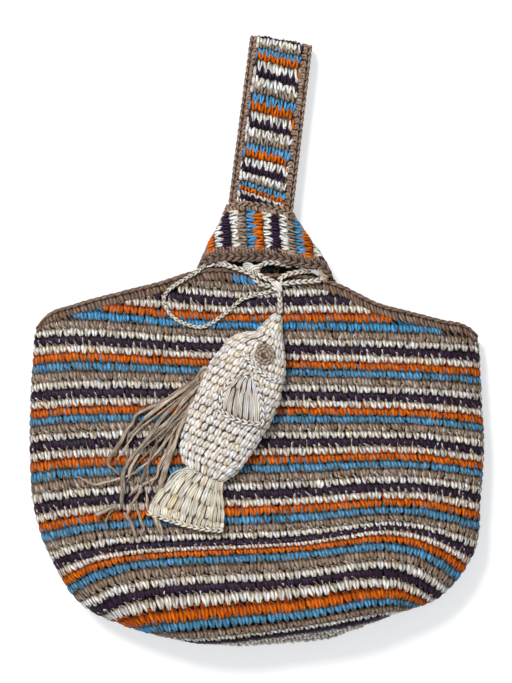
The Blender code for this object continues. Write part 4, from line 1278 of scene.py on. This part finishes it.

# %% [markdown]
# ## The cords
#
# Thin chains of cream raffia meet in a knot below the mouth. Each follows the same given
# points as the CAD tube that it stands for.

# %% Cords
TIE_DIAMETER, LOOP_DIAMETER, CHARM_CORD_DIAMETER = 3.2 * MM, 2.4 * MM, 3.4 * MM
KNOT = np.array([14.9, 40.4]) * MM
KNOT_RADIUS = 3.6 * MM
CORD_ROUTES = {
    # x, y and height above the bag's front, in millimetres
    "anchor_cord": [(50.4, 48.4, -3.5), (49.2, 47.4, 1.2), (46, 45.4, 2.9), (41, 44.6, 2.9),
                    (35.6, 44.2, 2.9), (29, 43.8, 2.9), (24, 43.2, 3.3), (18.9, 42.2, 4.2)],
    "left_tie_cord": [(-31, 56.6, -9), (-27, 57, -4), (-22, 56.2, 1.5), (-17, 54.6, 2.9),
                      (-10, 52.4, 2.9), (-5, 50.3, 2.8), (-2.2, 47.4, 2.8), (0.2, 44.2, 2.8),
                      (4.2, 41.8, 3.2), (10.6, 40.8, 4.3)],
    "right_tie_cord": [(16.0, 44.7, 4.4), (18.8, 47.6, 3.6), (24, 50, 3.0), (30.5, 51.2, 1.8),
                       (35, 52, -2), (38.5, 51.8, -7), (39.6, 52.2, -8.6)],
    "cross_tie_cord": [(12.4, 44.0, 4.4), (8.4, 45.8, 3.8), (3.6, 47.8, 3.1), (0.4, 51.2, 2.9),
                       (1.6, 55.2, 2.0), (6, 57.8, 0.2), (12, 58.2, -1.8), (19, 57.2, -4),
                       (26, 55.6, -7)],
    "loop_cord": [(11.3, 37.9, 2.9), (6.4, 36.0, 2.2), (0.6, 34.8, 2.2), (-4.6, 33.4, 2.2),
                  (-11, 31.2, 2.2), (-15.8, 27.2, 2.2), (-21.6, 22, 2.2), (-28, 17.4, 2.2),
                  (-33.4, 13.6, 2.2), (-40, 10.8, 2.2), (-47.4, 11.4, 2.2), (-56.6, 14.8, 2.2),
                  (-63.2, 19.6, 2.2), (-66.8, 25, 2.2), (-68.6, 31, 2.2), (-66, 37, 2.2),
                  (-59.4, 42.2, 2.2), (-52, 46.8, 2.2), (-44.4, 51.2, 2.2), (-40.6, 54.4, 0.8),
                  (-38.4, 56.2, -5)],
}


def on_front(points):
    """Route points given as x, y and height above the bag's front, in millimetres."""
    points = np.array(points, float) * MM
    points[:, 2] += front_height(points[:, 1])
    return points


def cord_chain(name, line, diameter, pitch, body, node):
    """A two-strand chain along the line, in the place of a CAD tube."""
    piece = chain(name, line, UP, pitch, diameter * 1.08, diameter * 0.42, "cord", 0.3,
                  finish=NATURAL)
    return settle(piece, body, "cord_raffia", node)


KNOT_CENTRE = np.array([*KNOT, front_height(KNOT[1]) + KNOT_RADIUS + RIDGE + CLEARANCE])
KNOT_STRANDS = [
    # radius, and points from the knot's middle, in millimetres
    (2.2, [(-2.2, 0.6, -0.8), (0, 0, -0.4), (2.2, -0.8, -0.8)]),
    (0.8, [(4.2, 3.4, -0.6), (2.0, 2.6, 1.1), (-0.8, 0.4, 1.6), (-3.0, -1.8, -0.2)]),
    (0.75, [(4.4, 1.8, -0.6), (2.2, 1.2, 1.2), (-0.6, -1.0, 1.6), (-2.4, -3.2, -0.4)]),
    (0.75, [(-4.2, -0.4, -0.6), (-2.0, -1.9, 1.1), (1.2, -2.3, 1.2), (3.8, -0.8, -0.8)]),
    (0.9, [(-4.4, 2.6, -0.4), (-2.1, 0.9, 2.1), (0.2, -1.7, 2.3), (1.4, -5.0, 0.2)]),
    (0.85, [(-3.4, 3.9, -0.4), (-1.0, 2.0, 2.4), (1.2, -0.8, 2.5), (2.4, -4.6, 0.2)]),
    (0.75, [(-1.6, 4.4, -0.4), (0.8, 2.4, 2.1), (2.5, -0.4, 1.9), (3.3, -3.8, 0.0)]),
]
WRAP_STRANDS = [
    # radius, and x, y and height above the bag's front, in millimetres
    (0.8, [(-10.6, 56.4, 2.4), (-7, 57.6, 3.8), (-3.4, 56.4, 5.0), (-0.6, 53.4, 4.6), (0.8, 50, 3)]),
    (0.75, [(-10.8, 54.8, 2.8), (-7, 56.0, 4.4), (-3.8, 55.0, 5.2), (-1.6, 52.2, 4.6), (-0.2, 48, 3)]),
    (0.7, [(-9.8, 53.4, 2.8), (-6.8, 54.4, 4.4), (-4.2, 53.2, 4.8), (-2.8, 50.6, 4.2), (-2, 47.6, 3)]),
    (0.7, [(-7.4, 51.8, 2.8), (-5.4, 53.8, 4.6), (-2.2, 55.4, 5.6), (1.2, 56.0, 4.6), (4, 57, 2.6)]),
    (0.65, [(-6.0, 50.8, 2.8), (-3.8, 52.6, 4.6), (-0.8, 54.0, 5.4), (2.6, 54.6, 4.0)]),
    (0.75, [(45, 53.4, 0.2), (46.4, 50.4, 2.2), (48.6, 47, 2.7), (49.8, 43.2, 1.2)]),
    (0.7, [(46.8, 53, 0.2), (48.2, 50, 2.5), (50.2, 46.8, 2.7), (51.6, 43.6, 1.2)]),
    (0.65, [(44.8, 48.8, 1.0), (47.4, 49.6, 3.2), (50.2, 48, 3.2), (52, 45.6, 1.0)]),
    (0.6, [(46.0, 46.6, 1.4), (48.4, 48.2, 3.2), (51.2, 48.4, 2.8), (52.8, 47, 0.8)]),
]


def build_knot():
    """Strands that cross over one another, round a lump of yarn."""
    bodies = [rope(KNOT_CENTRE + np.array(route) * MM, radius * MM)
              for radius, route in KNOT_STRANDS]
    return lofts("tie_knot_wraps", bodies, [YARNS["cord"]] * len(bodies))


def build_wraps():
    """Turns of yarn where the ties meet at the left, and over the mouth's border at the right."""
    bodies = [rope(on_front(route), radius * MM) for radius, route in WRAP_STRANDS]
    return lofts("tie_wraps", bodies, [YARNS["cord"] * 0.75] * 3 + [YARNS["cord"]] * 2
                 + [YARNS["fringe"] * 0.9] * 4)


settle(build_wraps(), "bag", "cord_raffia")
knot = settle(build_knot(), "bag", "cord_raffia", "tie_knot")
for cord_name, route in CORD_ROUTES.items():
    thin = cord_name == "loop_cord"
    line = through(on_front(route))
    diameter = LOOP_DIAMETER if thin else TIE_DIAMETER
    piece = cord_chain(cord_name + "_chain", line, diameter, (3.7 if thin else 4.7) * MM, "bag",
                       cord_name)

# %% [markdown]
# ## The fish
#
# A stuffed fish lies on the bag, its axis turned by 22 degrees. Places on it are given along its
# axis from the nose, to the left of the axis, and above the bag's front. Rows of cream stitches
# run round the body.

# %% Shape of the fish
NOSE = np.array([16.4, 20.6]) * MM
FISH_TURN = math.radians(22)
FISH_OUTLINE = np.array([
    # along, left half, right half, half thickness
    (0.6, 1.8, 1.6, 1.6), (4, 4.4, 3.4, 3.2), (10, 7.4, 6.0, 4.6), (17, 10.2, 9.2, 5.6),
    (20.5, 12.8, 11.2, 6.1), (24, 20.0, 13.6, 6.6), (31, 26.6, 17.0, 7.2), (40, 30.0, 20.2, 7.8),
    (55, 33.4, 23.0, 8.2), (72, 33.6, 23.8, 8.2), (87, 33.8, 22.0, 7.8), (100, 33.2, 19.6, 7.0),
    (113, 32.0, 16.8, 6.0), (122, 28.8, 13.0, 5.0), (129, 22.4, 8.6, 4.0),
]) * MM
CHARM_LIFT = 1.2 * MM
FISH_ROW, FISH_STITCH = 5.8 * MM, 5.2 * MM
FISH_HEIGHT = 1.45 * MM
SQUARE = blob([
    # a short full stitch that slants, and leaves small holes at its corners
    (-0.6, -0.12, 0.2, -1.0, 0.1), (-0.45, -0.1, 0.47, -1.0, 0.75), (-0.1, -0.02, 0.58, -1.0, 1.0),
    (0.2, 0.05, 0.58, -1.0, 0.95), (0.44, 0.1, 0.46, -1.0, 0.6), (0.6, 0.12, 0.18, -0.9, 0.1),
], LEGS)


def on_fish(along, left, lift):
    """A point given along the fish, to its left, and above the bag's front."""
    along, left, lift = np.broadcast_arrays(along, left, lift)
    down = np.array([-math.sin(FISH_TURN), -math.cos(FISH_TURN)])
    aside = np.array([-math.cos(FISH_TURN), math.sin(FISH_TURN)])
    flat = NOSE + along[..., None] * down + left[..., None] * aside
    return np.concatenate([flat, (front_height(flat[..., 1]) + lift)[..., None]], axis=-1)


def fish_section(along):
    """The fish's left half width, right half width and half thickness."""
    return columns_at(along, FISH_OUTLINE)


def fish_top(along, left):
    """Height of the fish's upper side above the bag's front."""
    wide_left, wide_right, half = fish_section(along)
    share = np.where(left > 0, left / wide_left, -left / wide_right)
    return CHARM_LIFT + half * (1 + np.sqrt(np.clip(1 - np.abs(share) ** 2.2, 0, 1)))


def fish_skin(turn, along):
    """The body's skin: turn runs from its left edge over the top."""
    wide_left, wide_right, half = fish_section(along)
    side = np.sign(np.cos(turn)) * np.abs(np.cos(turn)) ** 0.9
    left = np.where(side > 0, wide_left, wide_right) * side
    return on_fish(along, left, CHARM_LIFT + half * (1 + np.sin(turn)))


def fish_out(turn, along):
    """Outward: the slope round the body crossed with the slope towards the nose."""
    step = 0.05
    around = fish_skin(turn + step, along) - fish_skin(turn - step, along)
    forward = fish_skin(turn, along - 0.8 * MM) - fish_skin(turn, along + 0.8 * MM)
    return unit(np.cross(around, forward))


def build_fish_body():
    """A padded core and rows of stitches round it, each with as many as its round has room for."""
    turns = np.linspace(0, 2 * math.pi, 241)
    start, end = FISH_OUTLINE[0, 0], FISH_OUTLINE[-1, 0]
    count = round((end - start) / FISH_ROW)
    pitch = (end - start) / count
    found = []
    for row in range(count):
        along = start + (row + 0.5) * pitch
        arc = arc_length(fish_skin(turns, np.full(len(turns), along)))
        stitches = max(6, round(arc[-1] / FISH_STITCH))
        step = arc[-1] / stitches
        own = shaken(SQUARE, stitches, 0.09, 0.14, 0.12, 0.04)
        centre = (np.arange(stitches) + 0.5 * (row % 2)) * step
        turn = np.interp((centre[:, None] + own[..., 0] * step * 0.98) % arc[-1], arc, turns)
        at = np.clip(along - own[..., 1] * pitch, 0.2 * MM, end + 1 * MM)
        found.append(fish_skin(turn, at) + fish_out(turn, at) * (
            own[..., 2:] * FISH_HEIGHT - 0.4 * MM))
    stitches = copies("stitches", SQUARE, np.concatenate(found), YARNS["fish"], NATURAL,
                      0.08, 0.6, 0.3)
    # The core beneath is painted nearly black, as the shade between the stitches
    ring = np.linspace(0, 2 * math.pi, 40, endpoint=False)[None, :]
    along = np.linspace(start, end, 34)[:, None]
    core = fish_skin(ring, along) - fish_out(ring, along) * 1.15 * MM
    return join("fish_body_stitches", [lofts("core", [core], [YARNS["eye"] * 0.1]), stitches])


fish = settle(build_fish_body(), "fish_charm", "fish_raffia", "fish_body")

# %% [markdown]
# ## Tail, fin, eye and gill
#
# The tail is flat: four tiers of long stitches that fan out, and a chain along its end. The fin
# has two tiers in a border. A spiral of links makes the eye, and a raised chain the gill.

# %% Tail, fin, eye and gill
TAIL_START = 127.5 * MM
TAIL_WIDTHS = np.array([  # depth as a share, left and right half widths
    (0, 20.5, 8.0), (0.2, 27.5, 9.8), (0.4, 31.6, 14.0), (0.6, 34.6, 17.8), (0.8, 37.4, 20.4),
    (0.92, 37.0, 21.4), (1.0, 34.0, 21.8)]) * (1, MM, MM)
TAIL_LENGTH, TAIL_SKEW, TAIL_BOW = 39 * MM, 0.16, 2.6 * MM
TAIL_TIERS = [
    # stitches, middle and height as shares of the depth
    (9, -0.12, 0.25), (11, -0.39, 0.31), (13, -0.67, 0.27), (15, -0.87, 0.15)]
EYE_PLACE = (32.4 * MM, -1.1 * MM)
FIN_EDGES = np.array([  # along and left, for its left edge and for its right edge
    (52, 8.0, 51.3, -0.5), (57, 14.6, 56, -5.4), (65.5, 16.4, 63, -10.6), (74.5, 16.0, 71.5, -15.4),
    (82.0, 13.8, 79.5, -18.6)]) * MM
FIN_BOW, FIN_ARCH = 3.4 * MM, 1.2 * MM  # at its lower edge and at its top
TAIL_LIFT = 4.9 * MM  # from the charm's underside to the tail's upper face
FIN_TIERS = [(5, -0.22, 0.48), (7, -0.67, 0.56)]  # as for the tail
# Spread of a stitch's size, turn, lift and shift
TIER_SHAKES = {"tail": (0.1, 0.12, 0.12, 0.04), "fish": (0.12, 0.12, 0.12, 0.04)}
TIER_OVERLAP = 1.04  # a stitch's width by its share of the tier
EYE_PROFILE = np.array([  # radius and height, from the dome's foot to the hole
    (1.0, -1.6), (6.4, -1.6), (6.9, -0.9), (6.2, -0.3), (2.2, -0.1), (1.1, -0.1), (0.5, -0.3)]) * MM
EYE_TURNS = 2.5
GILL = [(36.8, 15.5), (39.6, 8), (43.5, 0), (46.2, -8), (47, -15), (44.6, -20)]  # along, left, in mm


def tail(across, up):
    """The tail's upper face: across from -1 at its left to 1 at its right, up from -1 at its end."""
    depth = np.clip(-up, -0.05, 1.05)
    wide_left, wide_right = (np.interp(depth, TAIL_WIDTHS[:, 0], TAIL_WIDTHS[:, k]) for k in (1, 2))
    left = -across * np.where(across < 0, wide_left, wide_right)
    along = TAIL_START + depth * (TAIL_LENGTH + TAIL_SKEW * left + TAIL_BOW * (1 - across ** 2))
    wave = 0.5 * MM * np.sin(across * 5) * depth
    place = on_fish(along, left, CHARM_LIFT + TAIL_LIFT + wave - 1.2 * MM * depth)
    return place, np.broadcast_to(UP, place.shape)


def fan(surface, tiers, left, right, height, yarn, looks):
    """Tiers of long stitches across a surface. looks are the settings that copies ends with."""
    made = []
    for count, up, tall in tiers:
        wide = (right - left) / count
        centres = np.stack([left + (np.arange(count) + 0.5) * wide, np.full(count, up)], axis=-1)
        sizes = np.array([wide * TIER_OVERLAP, tall])
        points = lay(surface, BUNDLE, centres, sizes, height, 0, TIER_SHAKES[yarn])
        made.append(copies("tier", BUNDLE, points, YARNS[yarn], NATURAL, *looks))
    return made


def build_tail():
    """Four tiers, a chain along the end, a core beneath and curls of yarn at the narrow end."""
    parts = fan(tail, TAIL_TIERS, -0.96, 0.98, 1.7 * MM, "tail", (0.06, 0.12, 0.26))
    line, out = tail(np.linspace(-1, 1, 120), -0.97)
    parts.append(chain("end", line, out, 4.4 * MM, 3.4 * MM, 1.7 * MM, "tail", 0.3,
                       finish=NATURAL))
    # The core is painted dark on top, as the shade between the stitches, and lighter beneath
    side, depth = np.meshgrid(np.linspace(-0.97, 0.97, 40), np.linspace(0, -0.97, 30))
    top, out = tail(side, depth)
    parts.append(slab("core", top - out * 0.5 * MM, top - out * 2.6 * MM, YARNS["eye"] * 0.3,
                      YARNS["tail"] * 0.8, NATURAL))
    curls = []
    for inward in (0, 1.3, 2.6):
        depth = np.array([0.02, 0.05, 0.13, 0.26, 0.4])
        across = np.array([-0.55, -0.8, -0.97, -1.0, -0.94]) + inward * 0.06
        line, out = tail(across, -depth - inward * 0.012)
        curls.append(rope(line + out * 1.1 * MM, 0.55 * MM))
    parts.append(lofts("curls", curls, [YARNS["tail"] * 0.7] * len(curls)))
    return join("fish_tail_stitches", parts)


def fin(across, up):
    """The fin's upper face: across from -1 to 1, up from -1 at its lower edge to 0."""
    depth = np.clip(-up, 0, 1.05)
    edges = [np.interp(depth, np.linspace(0, 1, len(FIN_EDGES)), FIN_EDGES[:, k]) for k in range(4)]
    share = (across + 1) / 2
    bulge = np.clip(1 - across ** 2, 0, 1)
    along = edges[0] + (edges[2] - edges[0]) * share
    along = along + (FIN_BOW * depth - FIN_ARCH * (1 - depth)) * bulge
    aside = edges[1] + (edges[3] - edges[1]) * share
    place = on_fish(along, aside, fish_top(along, aside) + 1.4 * MM + 0.9 * MM * bulge)
    return place, np.broadcast_to(UP, place.shape)


def build_fin():
    """Two tiers, a two-strand border round them and a core beneath."""
    parts = fan(fin, FIN_TIERS, -0.9, 0.9, 1.9 * MM, "fish", (0.08, 0.12, 0.05))
    top = np.linspace(-1, 1, 24)
    rim = [(top[12:0:-1], 0.0), (-1.0, np.linspace(0, -0.97, 20)), (np.linspace(-1, 1, 40), -0.98),
           (1.0, np.linspace(-0.97, 0, 20)), (top[23:13:-1], 0.0)]
    rim = np.concatenate([np.stack(np.broadcast_arrays(*stretch), axis=-1) for stretch in rim])
    line = through(fin(rim[:, 0], rim[:, 1])[0][::3])
    parts.append(chain("rim", line, UP, 4.6 * MM, 3.6 * MM, 1.5 * MM, "fish", 0.3, finish=NATURAL,
                       slit=0.04))
    # The core is painted dark on top, as the shade between the stitches, and lighter beneath
    side, depth = np.meshgrid(np.linspace(-0.97, 0.97, 24), np.linspace(-0.02, -0.97, 20))
    top, out = fin(side, depth)
    parts.append(slab("core", top - out * 0.6 * MM, top - out * 2.6 * MM, YARNS["eye"] * 0.2,
                      YARNS["fish"] * 0.5, NATURAL))
    return join("fish_fin_stitches", parts)


def build_eye():
    """A low dome with a hole, and a spiral of links from its rim to the hole."""
    # The dome is painted dark, as the shade between the links and in the hole
    turn = np.linspace(0, 2 * math.pi, 32, endpoint=False)
    along = EYE_PLACE[0] + EYE_PROFILE[:, :1] * np.cos(turn)
    left = EYE_PLACE[1] + EYE_PROFILE[:, :1] * np.sin(turn)
    lift = fish_top(along, left) + 1.6 * MM + EYE_PROFILE[:, 1:]
    core = lofts("core", [on_fish(along, left, lift)], [YARNS["eye"] * 0.2])
    swirl = np.linspace(0, 1, 300)
    radius = (7.5 - 5.6 * swirl) * MM
    angle = swirl * 2 * math.pi * EYE_TURNS + 2.0
    along = EYE_PLACE[0] + radius * np.cos(angle)
    left = EYE_PLACE[1] + radius * np.sin(angle)
    line = on_fish(along, left, fish_top(along, left) + (1.0 + 0.5 * np.sqrt(swirl)) * MM)
    ring = chain("spiral", line, UP, 3.8 * MM, 2.9 * MM, 1.5 * MM, "eye", 0.3, (1,),
                 finish=NATURAL)
    return join("fish_eye_spiral", [core, ring])


def build_gill():
    """A raised chain across the body, behind the head."""
    along, left = np.array(GILL).T * MM
    line = through(on_fish(along, left, fish_top(along, left) + 1.3 * MM))
    return chain("gill_chain", line, UP, 4.2 * MM, 3.4 * MM, 1.4 * MM, "fish", 0.3,
                 finish=NATURAL)


settle(build_tail(), "fish_charm", "fish_raffia", "fish_tail")
settle(build_fin(), "fish_charm", "fish_raffia", "fish_fin")
settle(build_eye(), "fish_charm", "eye_raffia", "fish_eye")
settle(build_gill(), "fish_charm", "fish_raffia", "gill_line")

# %% Charm cord
fish_tip = on_fish(FISH_OUTLINE[0, 0] - CLEARANCE, 0, CHARM_LIFT + FISH_OUTLINE[0, 3])
top_end = KNOT_CENTRE + unit(fish_tip - KNOT_CENTRE) * (KNOT_RADIUS + 2 * CLEARANCE)
sway = np.array([1.3, 0.3, 0.7]) * MM
halfway = (top_end + fish_tip) / 2 + sway
cord_chain("charm_cord_chain",
           through([top_end, (top_end + halfway) / 2 + sway / 3, halfway,
                    (halfway + fish_tip) / 2 + sway / 3, fish_tip]),
           CHARM_CORD_DIAMETER, 4.0 * MM, "charm_cord", "charm_cord")

# %% [markdown]
# ## The fringe
#
# Flat strands of plain raffia leave the fish's left edge in one bundle and fan out. Each was
# followed on an enlargement of the picture. Its points turn into places on the bag's front. A
# strand keeps to its own layer, so that strands cross without touching.

# %% Fringe
PICTURE_MIDDLE, PIXEL = (256.9, 341.6), 0.74 * MM
ENLARGED_FROM, ENLARGED = (80, 360), 8.714  # the enlargement's first pixel, and how many times
FRINGE = [
    # layer, width in mm, and the points, in the enlargement
    (6, 3.2, [(1105, 150), (980, 250), (860, 360), (720, 500), (640, 620), (560, 720), (490, 800),
              (430, 880), (395, 960), (385, 1010), (390, 1100), (380, 1180), (370, 1280)]),
    (3, 3.0, [(1050, 160), (900, 260), (740, 350), (590, 420), (500, 470), (470, 540), (420, 600),
              (370, 700), (300, 800), (260, 860), (270, 910), (330, 960), (360, 990)]),
    (2, 1.5, [(1000, 170), (870, 250), (720, 370), (640, 430), (560, 520), (480, 610), (430, 660),
              (430, 760), (420, 880)]),
    (5, 2.8, [(1090, 180), (930, 330), (840, 450), (740, 560), (640, 640), (570, 740), (500, 840),
              (450, 940), (440, 1020)]),
    (7, 1.6, [(1080, 260), (960, 440), (850, 520), (740, 610), (650, 680), (580, 740), (520, 800)]),
    (4, 1.8, [(1010, 330), (820, 620), (640, 840), (560, 910), (480, 970), (380, 1010), (230, 1050),
              (150, 1070), (60, 1030), (0, 1000)]),
    (1, 2.6, [(1000, 320), (830, 560), (780, 640), (720, 760), (650, 850), (610, 880), (580, 960),
              (550, 1050)]),
    (3, 2.4, [(960, 360), (700, 640), (680, 720), (640, 830), (600, 900), (560, 1000),
              (545, 1070)]),
    (2, 2.6, [(1020, 350), (860, 540), (800, 700), (760, 800), (700, 900), (680, 1000), (640, 1030),
              (560, 1070), (480, 1130), (440, 1170)]),
    (7, 4.2, [(1115, 170), (1040, 320), (940, 470), (880, 580), (840, 700), (800, 800), (760, 920),
              (720, 1050), (700, 1130), (670, 1250), (660, 1320), (690, 1400), (740, 1520)]),
    (4, 2.2, [(545, 1075), (530, 1130), (490, 1200), (450, 1270), (430, 1320)]),
    (1, 2.0, [(500, 1190), (510, 1270), (540, 1370), (570, 1440), (560, 1480)]),
    (5, 1.8, [(590, 1140), (600, 1200), (600, 1260), (620, 1340)]),
    (3, 3.4, [(340, 1240), (240, 1290), (150, 1330)]),
    (5, 1.5, [(300, 1280), (260, 1340), (235, 1430)]),
    (2, 3.0, [(400, 1310), (430, 1350), (470, 1430), (500, 1520)]),
    (7, 3.0, [(1020, 190), (1052, 104), (1100, 62), (1132, 90), (1112, 160)]),
    (6, 2.4, [(1060, 205), (1075, 120), (1106, 100), (1124, 130), (1090, 230)]),
    (2, 1.4, [(1080, 140), (900, 300), (700, 460), (520, 600), (400, 760), (330, 860)]),
    (1, 1.2, [(1060, 220), (880, 470), (700, 700), (520, 880), (400, 1080)]),
    (5, 1.1, [(1070, 230), (930, 520), (830, 760), (760, 980), (690, 1180)]),
    (6, 1.0, [(1090, 200), (940, 420), (780, 600), (650, 760), (600, 980), (640, 1120)]),
    (2, 1.2, [(1000, 380), (880, 620), (740, 880), (620, 1090)]),
    (6, 3.4, [(1118, 120), (1050, 280), (960, 420), (900, 540), (850, 640)]),
    (5, 3.2, [(1085, 120), (960, 220), (800, 330), (650, 440), (560, 520)]),
]
STRAND_SECTION = np.array([(-1, 0), (-0.5, 0.9), (-0.05, 0.25), (0.4, 1.0), (1, 0), (0, -0.7)])
STRAND_THICKNESS, ROLL = 0.5 * MM, 0.5  # and how far a strand rolls, in radians
LOWEST_LAYER, LAYER = 2.0 * MM, 0.55 * MM
BUNDLE_RISE, BUNDLE_FROM, BUNDLE_OVER = 5.5 * MM, -62 * MM, 28 * MM  # up to the fish's edge, by x


def strand(line, width):
    """Rings of a creased flat strand along a line, which rolls slowly and narrows at its ends."""
    up, side = line_frame(line)
    share = np.linspace(0, 1, len(line))
    angle = ROLL * np.sin(share * rng.uniform(4, 9) + rng.uniform(0, 6))
    across = side * np.cos(angle)[:, None] + up * np.sin(angle)[:, None]
    out = up * np.cos(angle)[:, None] - side * np.sin(angle)[:, None]
    wide = width / 2 * np.clip(np.minimum(share, 1 - share) * 12 + 0.35, 0, 1)
    wide = wide * (1 + 0.15 * np.sin(share * 17 + rng.uniform(0, 6)))
    return (line[:, None] + (wide[:, None] * STRAND_SECTION[:, 0])[..., None] * across[:, None]
            + STRAND_SECTION[None, :, 1:] * STRAND_THICKNESS * out[:, None])


def build_fringe():
    """All strands in one mesh, from the bundle at the fish's edge down to the bag."""
    bodies, tints = [], []
    for layer, width, points in FRINGE:
        pixels = np.array(ENLARGED_FROM) + np.array(points) / ENLARGED
        x = (pixels[:, 0] - PICTURE_MIDDLE[0]) * PIXEL
        y = (PICTURE_MIDDLE[1] - pixels[:, 1]) * PIXEL
        height = front_height(y) + LOWEST_LAYER + layer * LAYER
        height += BUNDLE_RISE * np.clip((x - BUNDLE_FROM) / BUNDLE_OVER, 0, 1) ** 2
        bodies.append(strand(through(np.stack([x, y, height], axis=1), 1.5 * MM), width * MM))
        tints.append(YARNS["fringe"] * rng.uniform(0.56, 1.12))
    return lofts("fringe_strands", bodies, tints, PLAIN)


settle(build_fringe(), "fish_charm", "fringe_raffia",
       *[f"fringe_strand_{number:02d}" for number in range(1, 8)])

# %% [markdown]
# ## Floor and light
#
# A pale floor takes the shadow, and looks white to the camera. A soft lamp stands up and to the
# left, a weak cool one opposite, and the sky fills the rest.

# %% Floor and light
floor_mesh = bpy.data.meshes.new("floor")
floor_mesh.from_pydata([(-3, -3, 0), (3, -3, 0), (3, 3, 0), (-3, 3, 0)], [], [(0, 1, 2, 3)])
floor = bpy.data.objects.new("floor", floor_mesh)
bpy.context.collection.objects.link(floor)
paper = bpy.data.materials.new("pale_paper")
paper.use_nodes = True
matt = paper.node_tree.nodes["Principled BSDF"]
for socket, value in {"Base Color": (0.6, 0.6, 0.6, 1), "Roughness": 0.9,
                      "Emission Color": (1, 1, 1, 1)}.items():
    matt.inputs[socket].default_value = value
rays = linked(paper.node_tree, "ShaderNodeLightPath")
seen = linked(paper.node_tree, "ShaderNodeMath",
              {0: rays.outputs["Is Camera Ray"], 1: rays.outputs["Is Glossy Ray"]},
              operation="MAXIMUM")
glow = linked(paper.node_tree, "ShaderNodeMath", {0: seen.outputs["Value"], 1: 0.5},
              operation="MULTIPLY")
paper.node_tree.links.new(glow.outputs["Value"], matt.inputs["Emission Strength"])
floor_mesh.materials.append(paper)

world = bpy.data.worlds.new("sky")
world.use_nodes = True
world.node_tree.nodes["Background"].inputs["Color"].default_value = (0.92, 0.96, 1.0, 1)
world.node_tree.nodes["Background"].inputs["Strength"].default_value = 0.5
bpy.context.scene.world = world


def lamp(name, energy, softness, turn, colour=(1.0, 1.0, 1.0)):
    """A far lamp. Its softness, the angle that it fills, and its turn are in degrees."""
    data = bpy.data.lights.new(name, "SUN")
    data.energy, data.angle, data.color = energy, math.radians(softness), colour
    made = bpy.data.objects.new(name, data)
    made.rotation_euler = [math.radians(angle) for angle in turn]
    bpy.context.collection.objects.link(made)


lamp("window", 2.42, 14, (-32, -24, 0))
lamp("fill", 0.5, 60, (48, 8, 0), (0.85, 0.93, 1.0))
bpy.context.scene.view_settings.view_transform = "Standard"
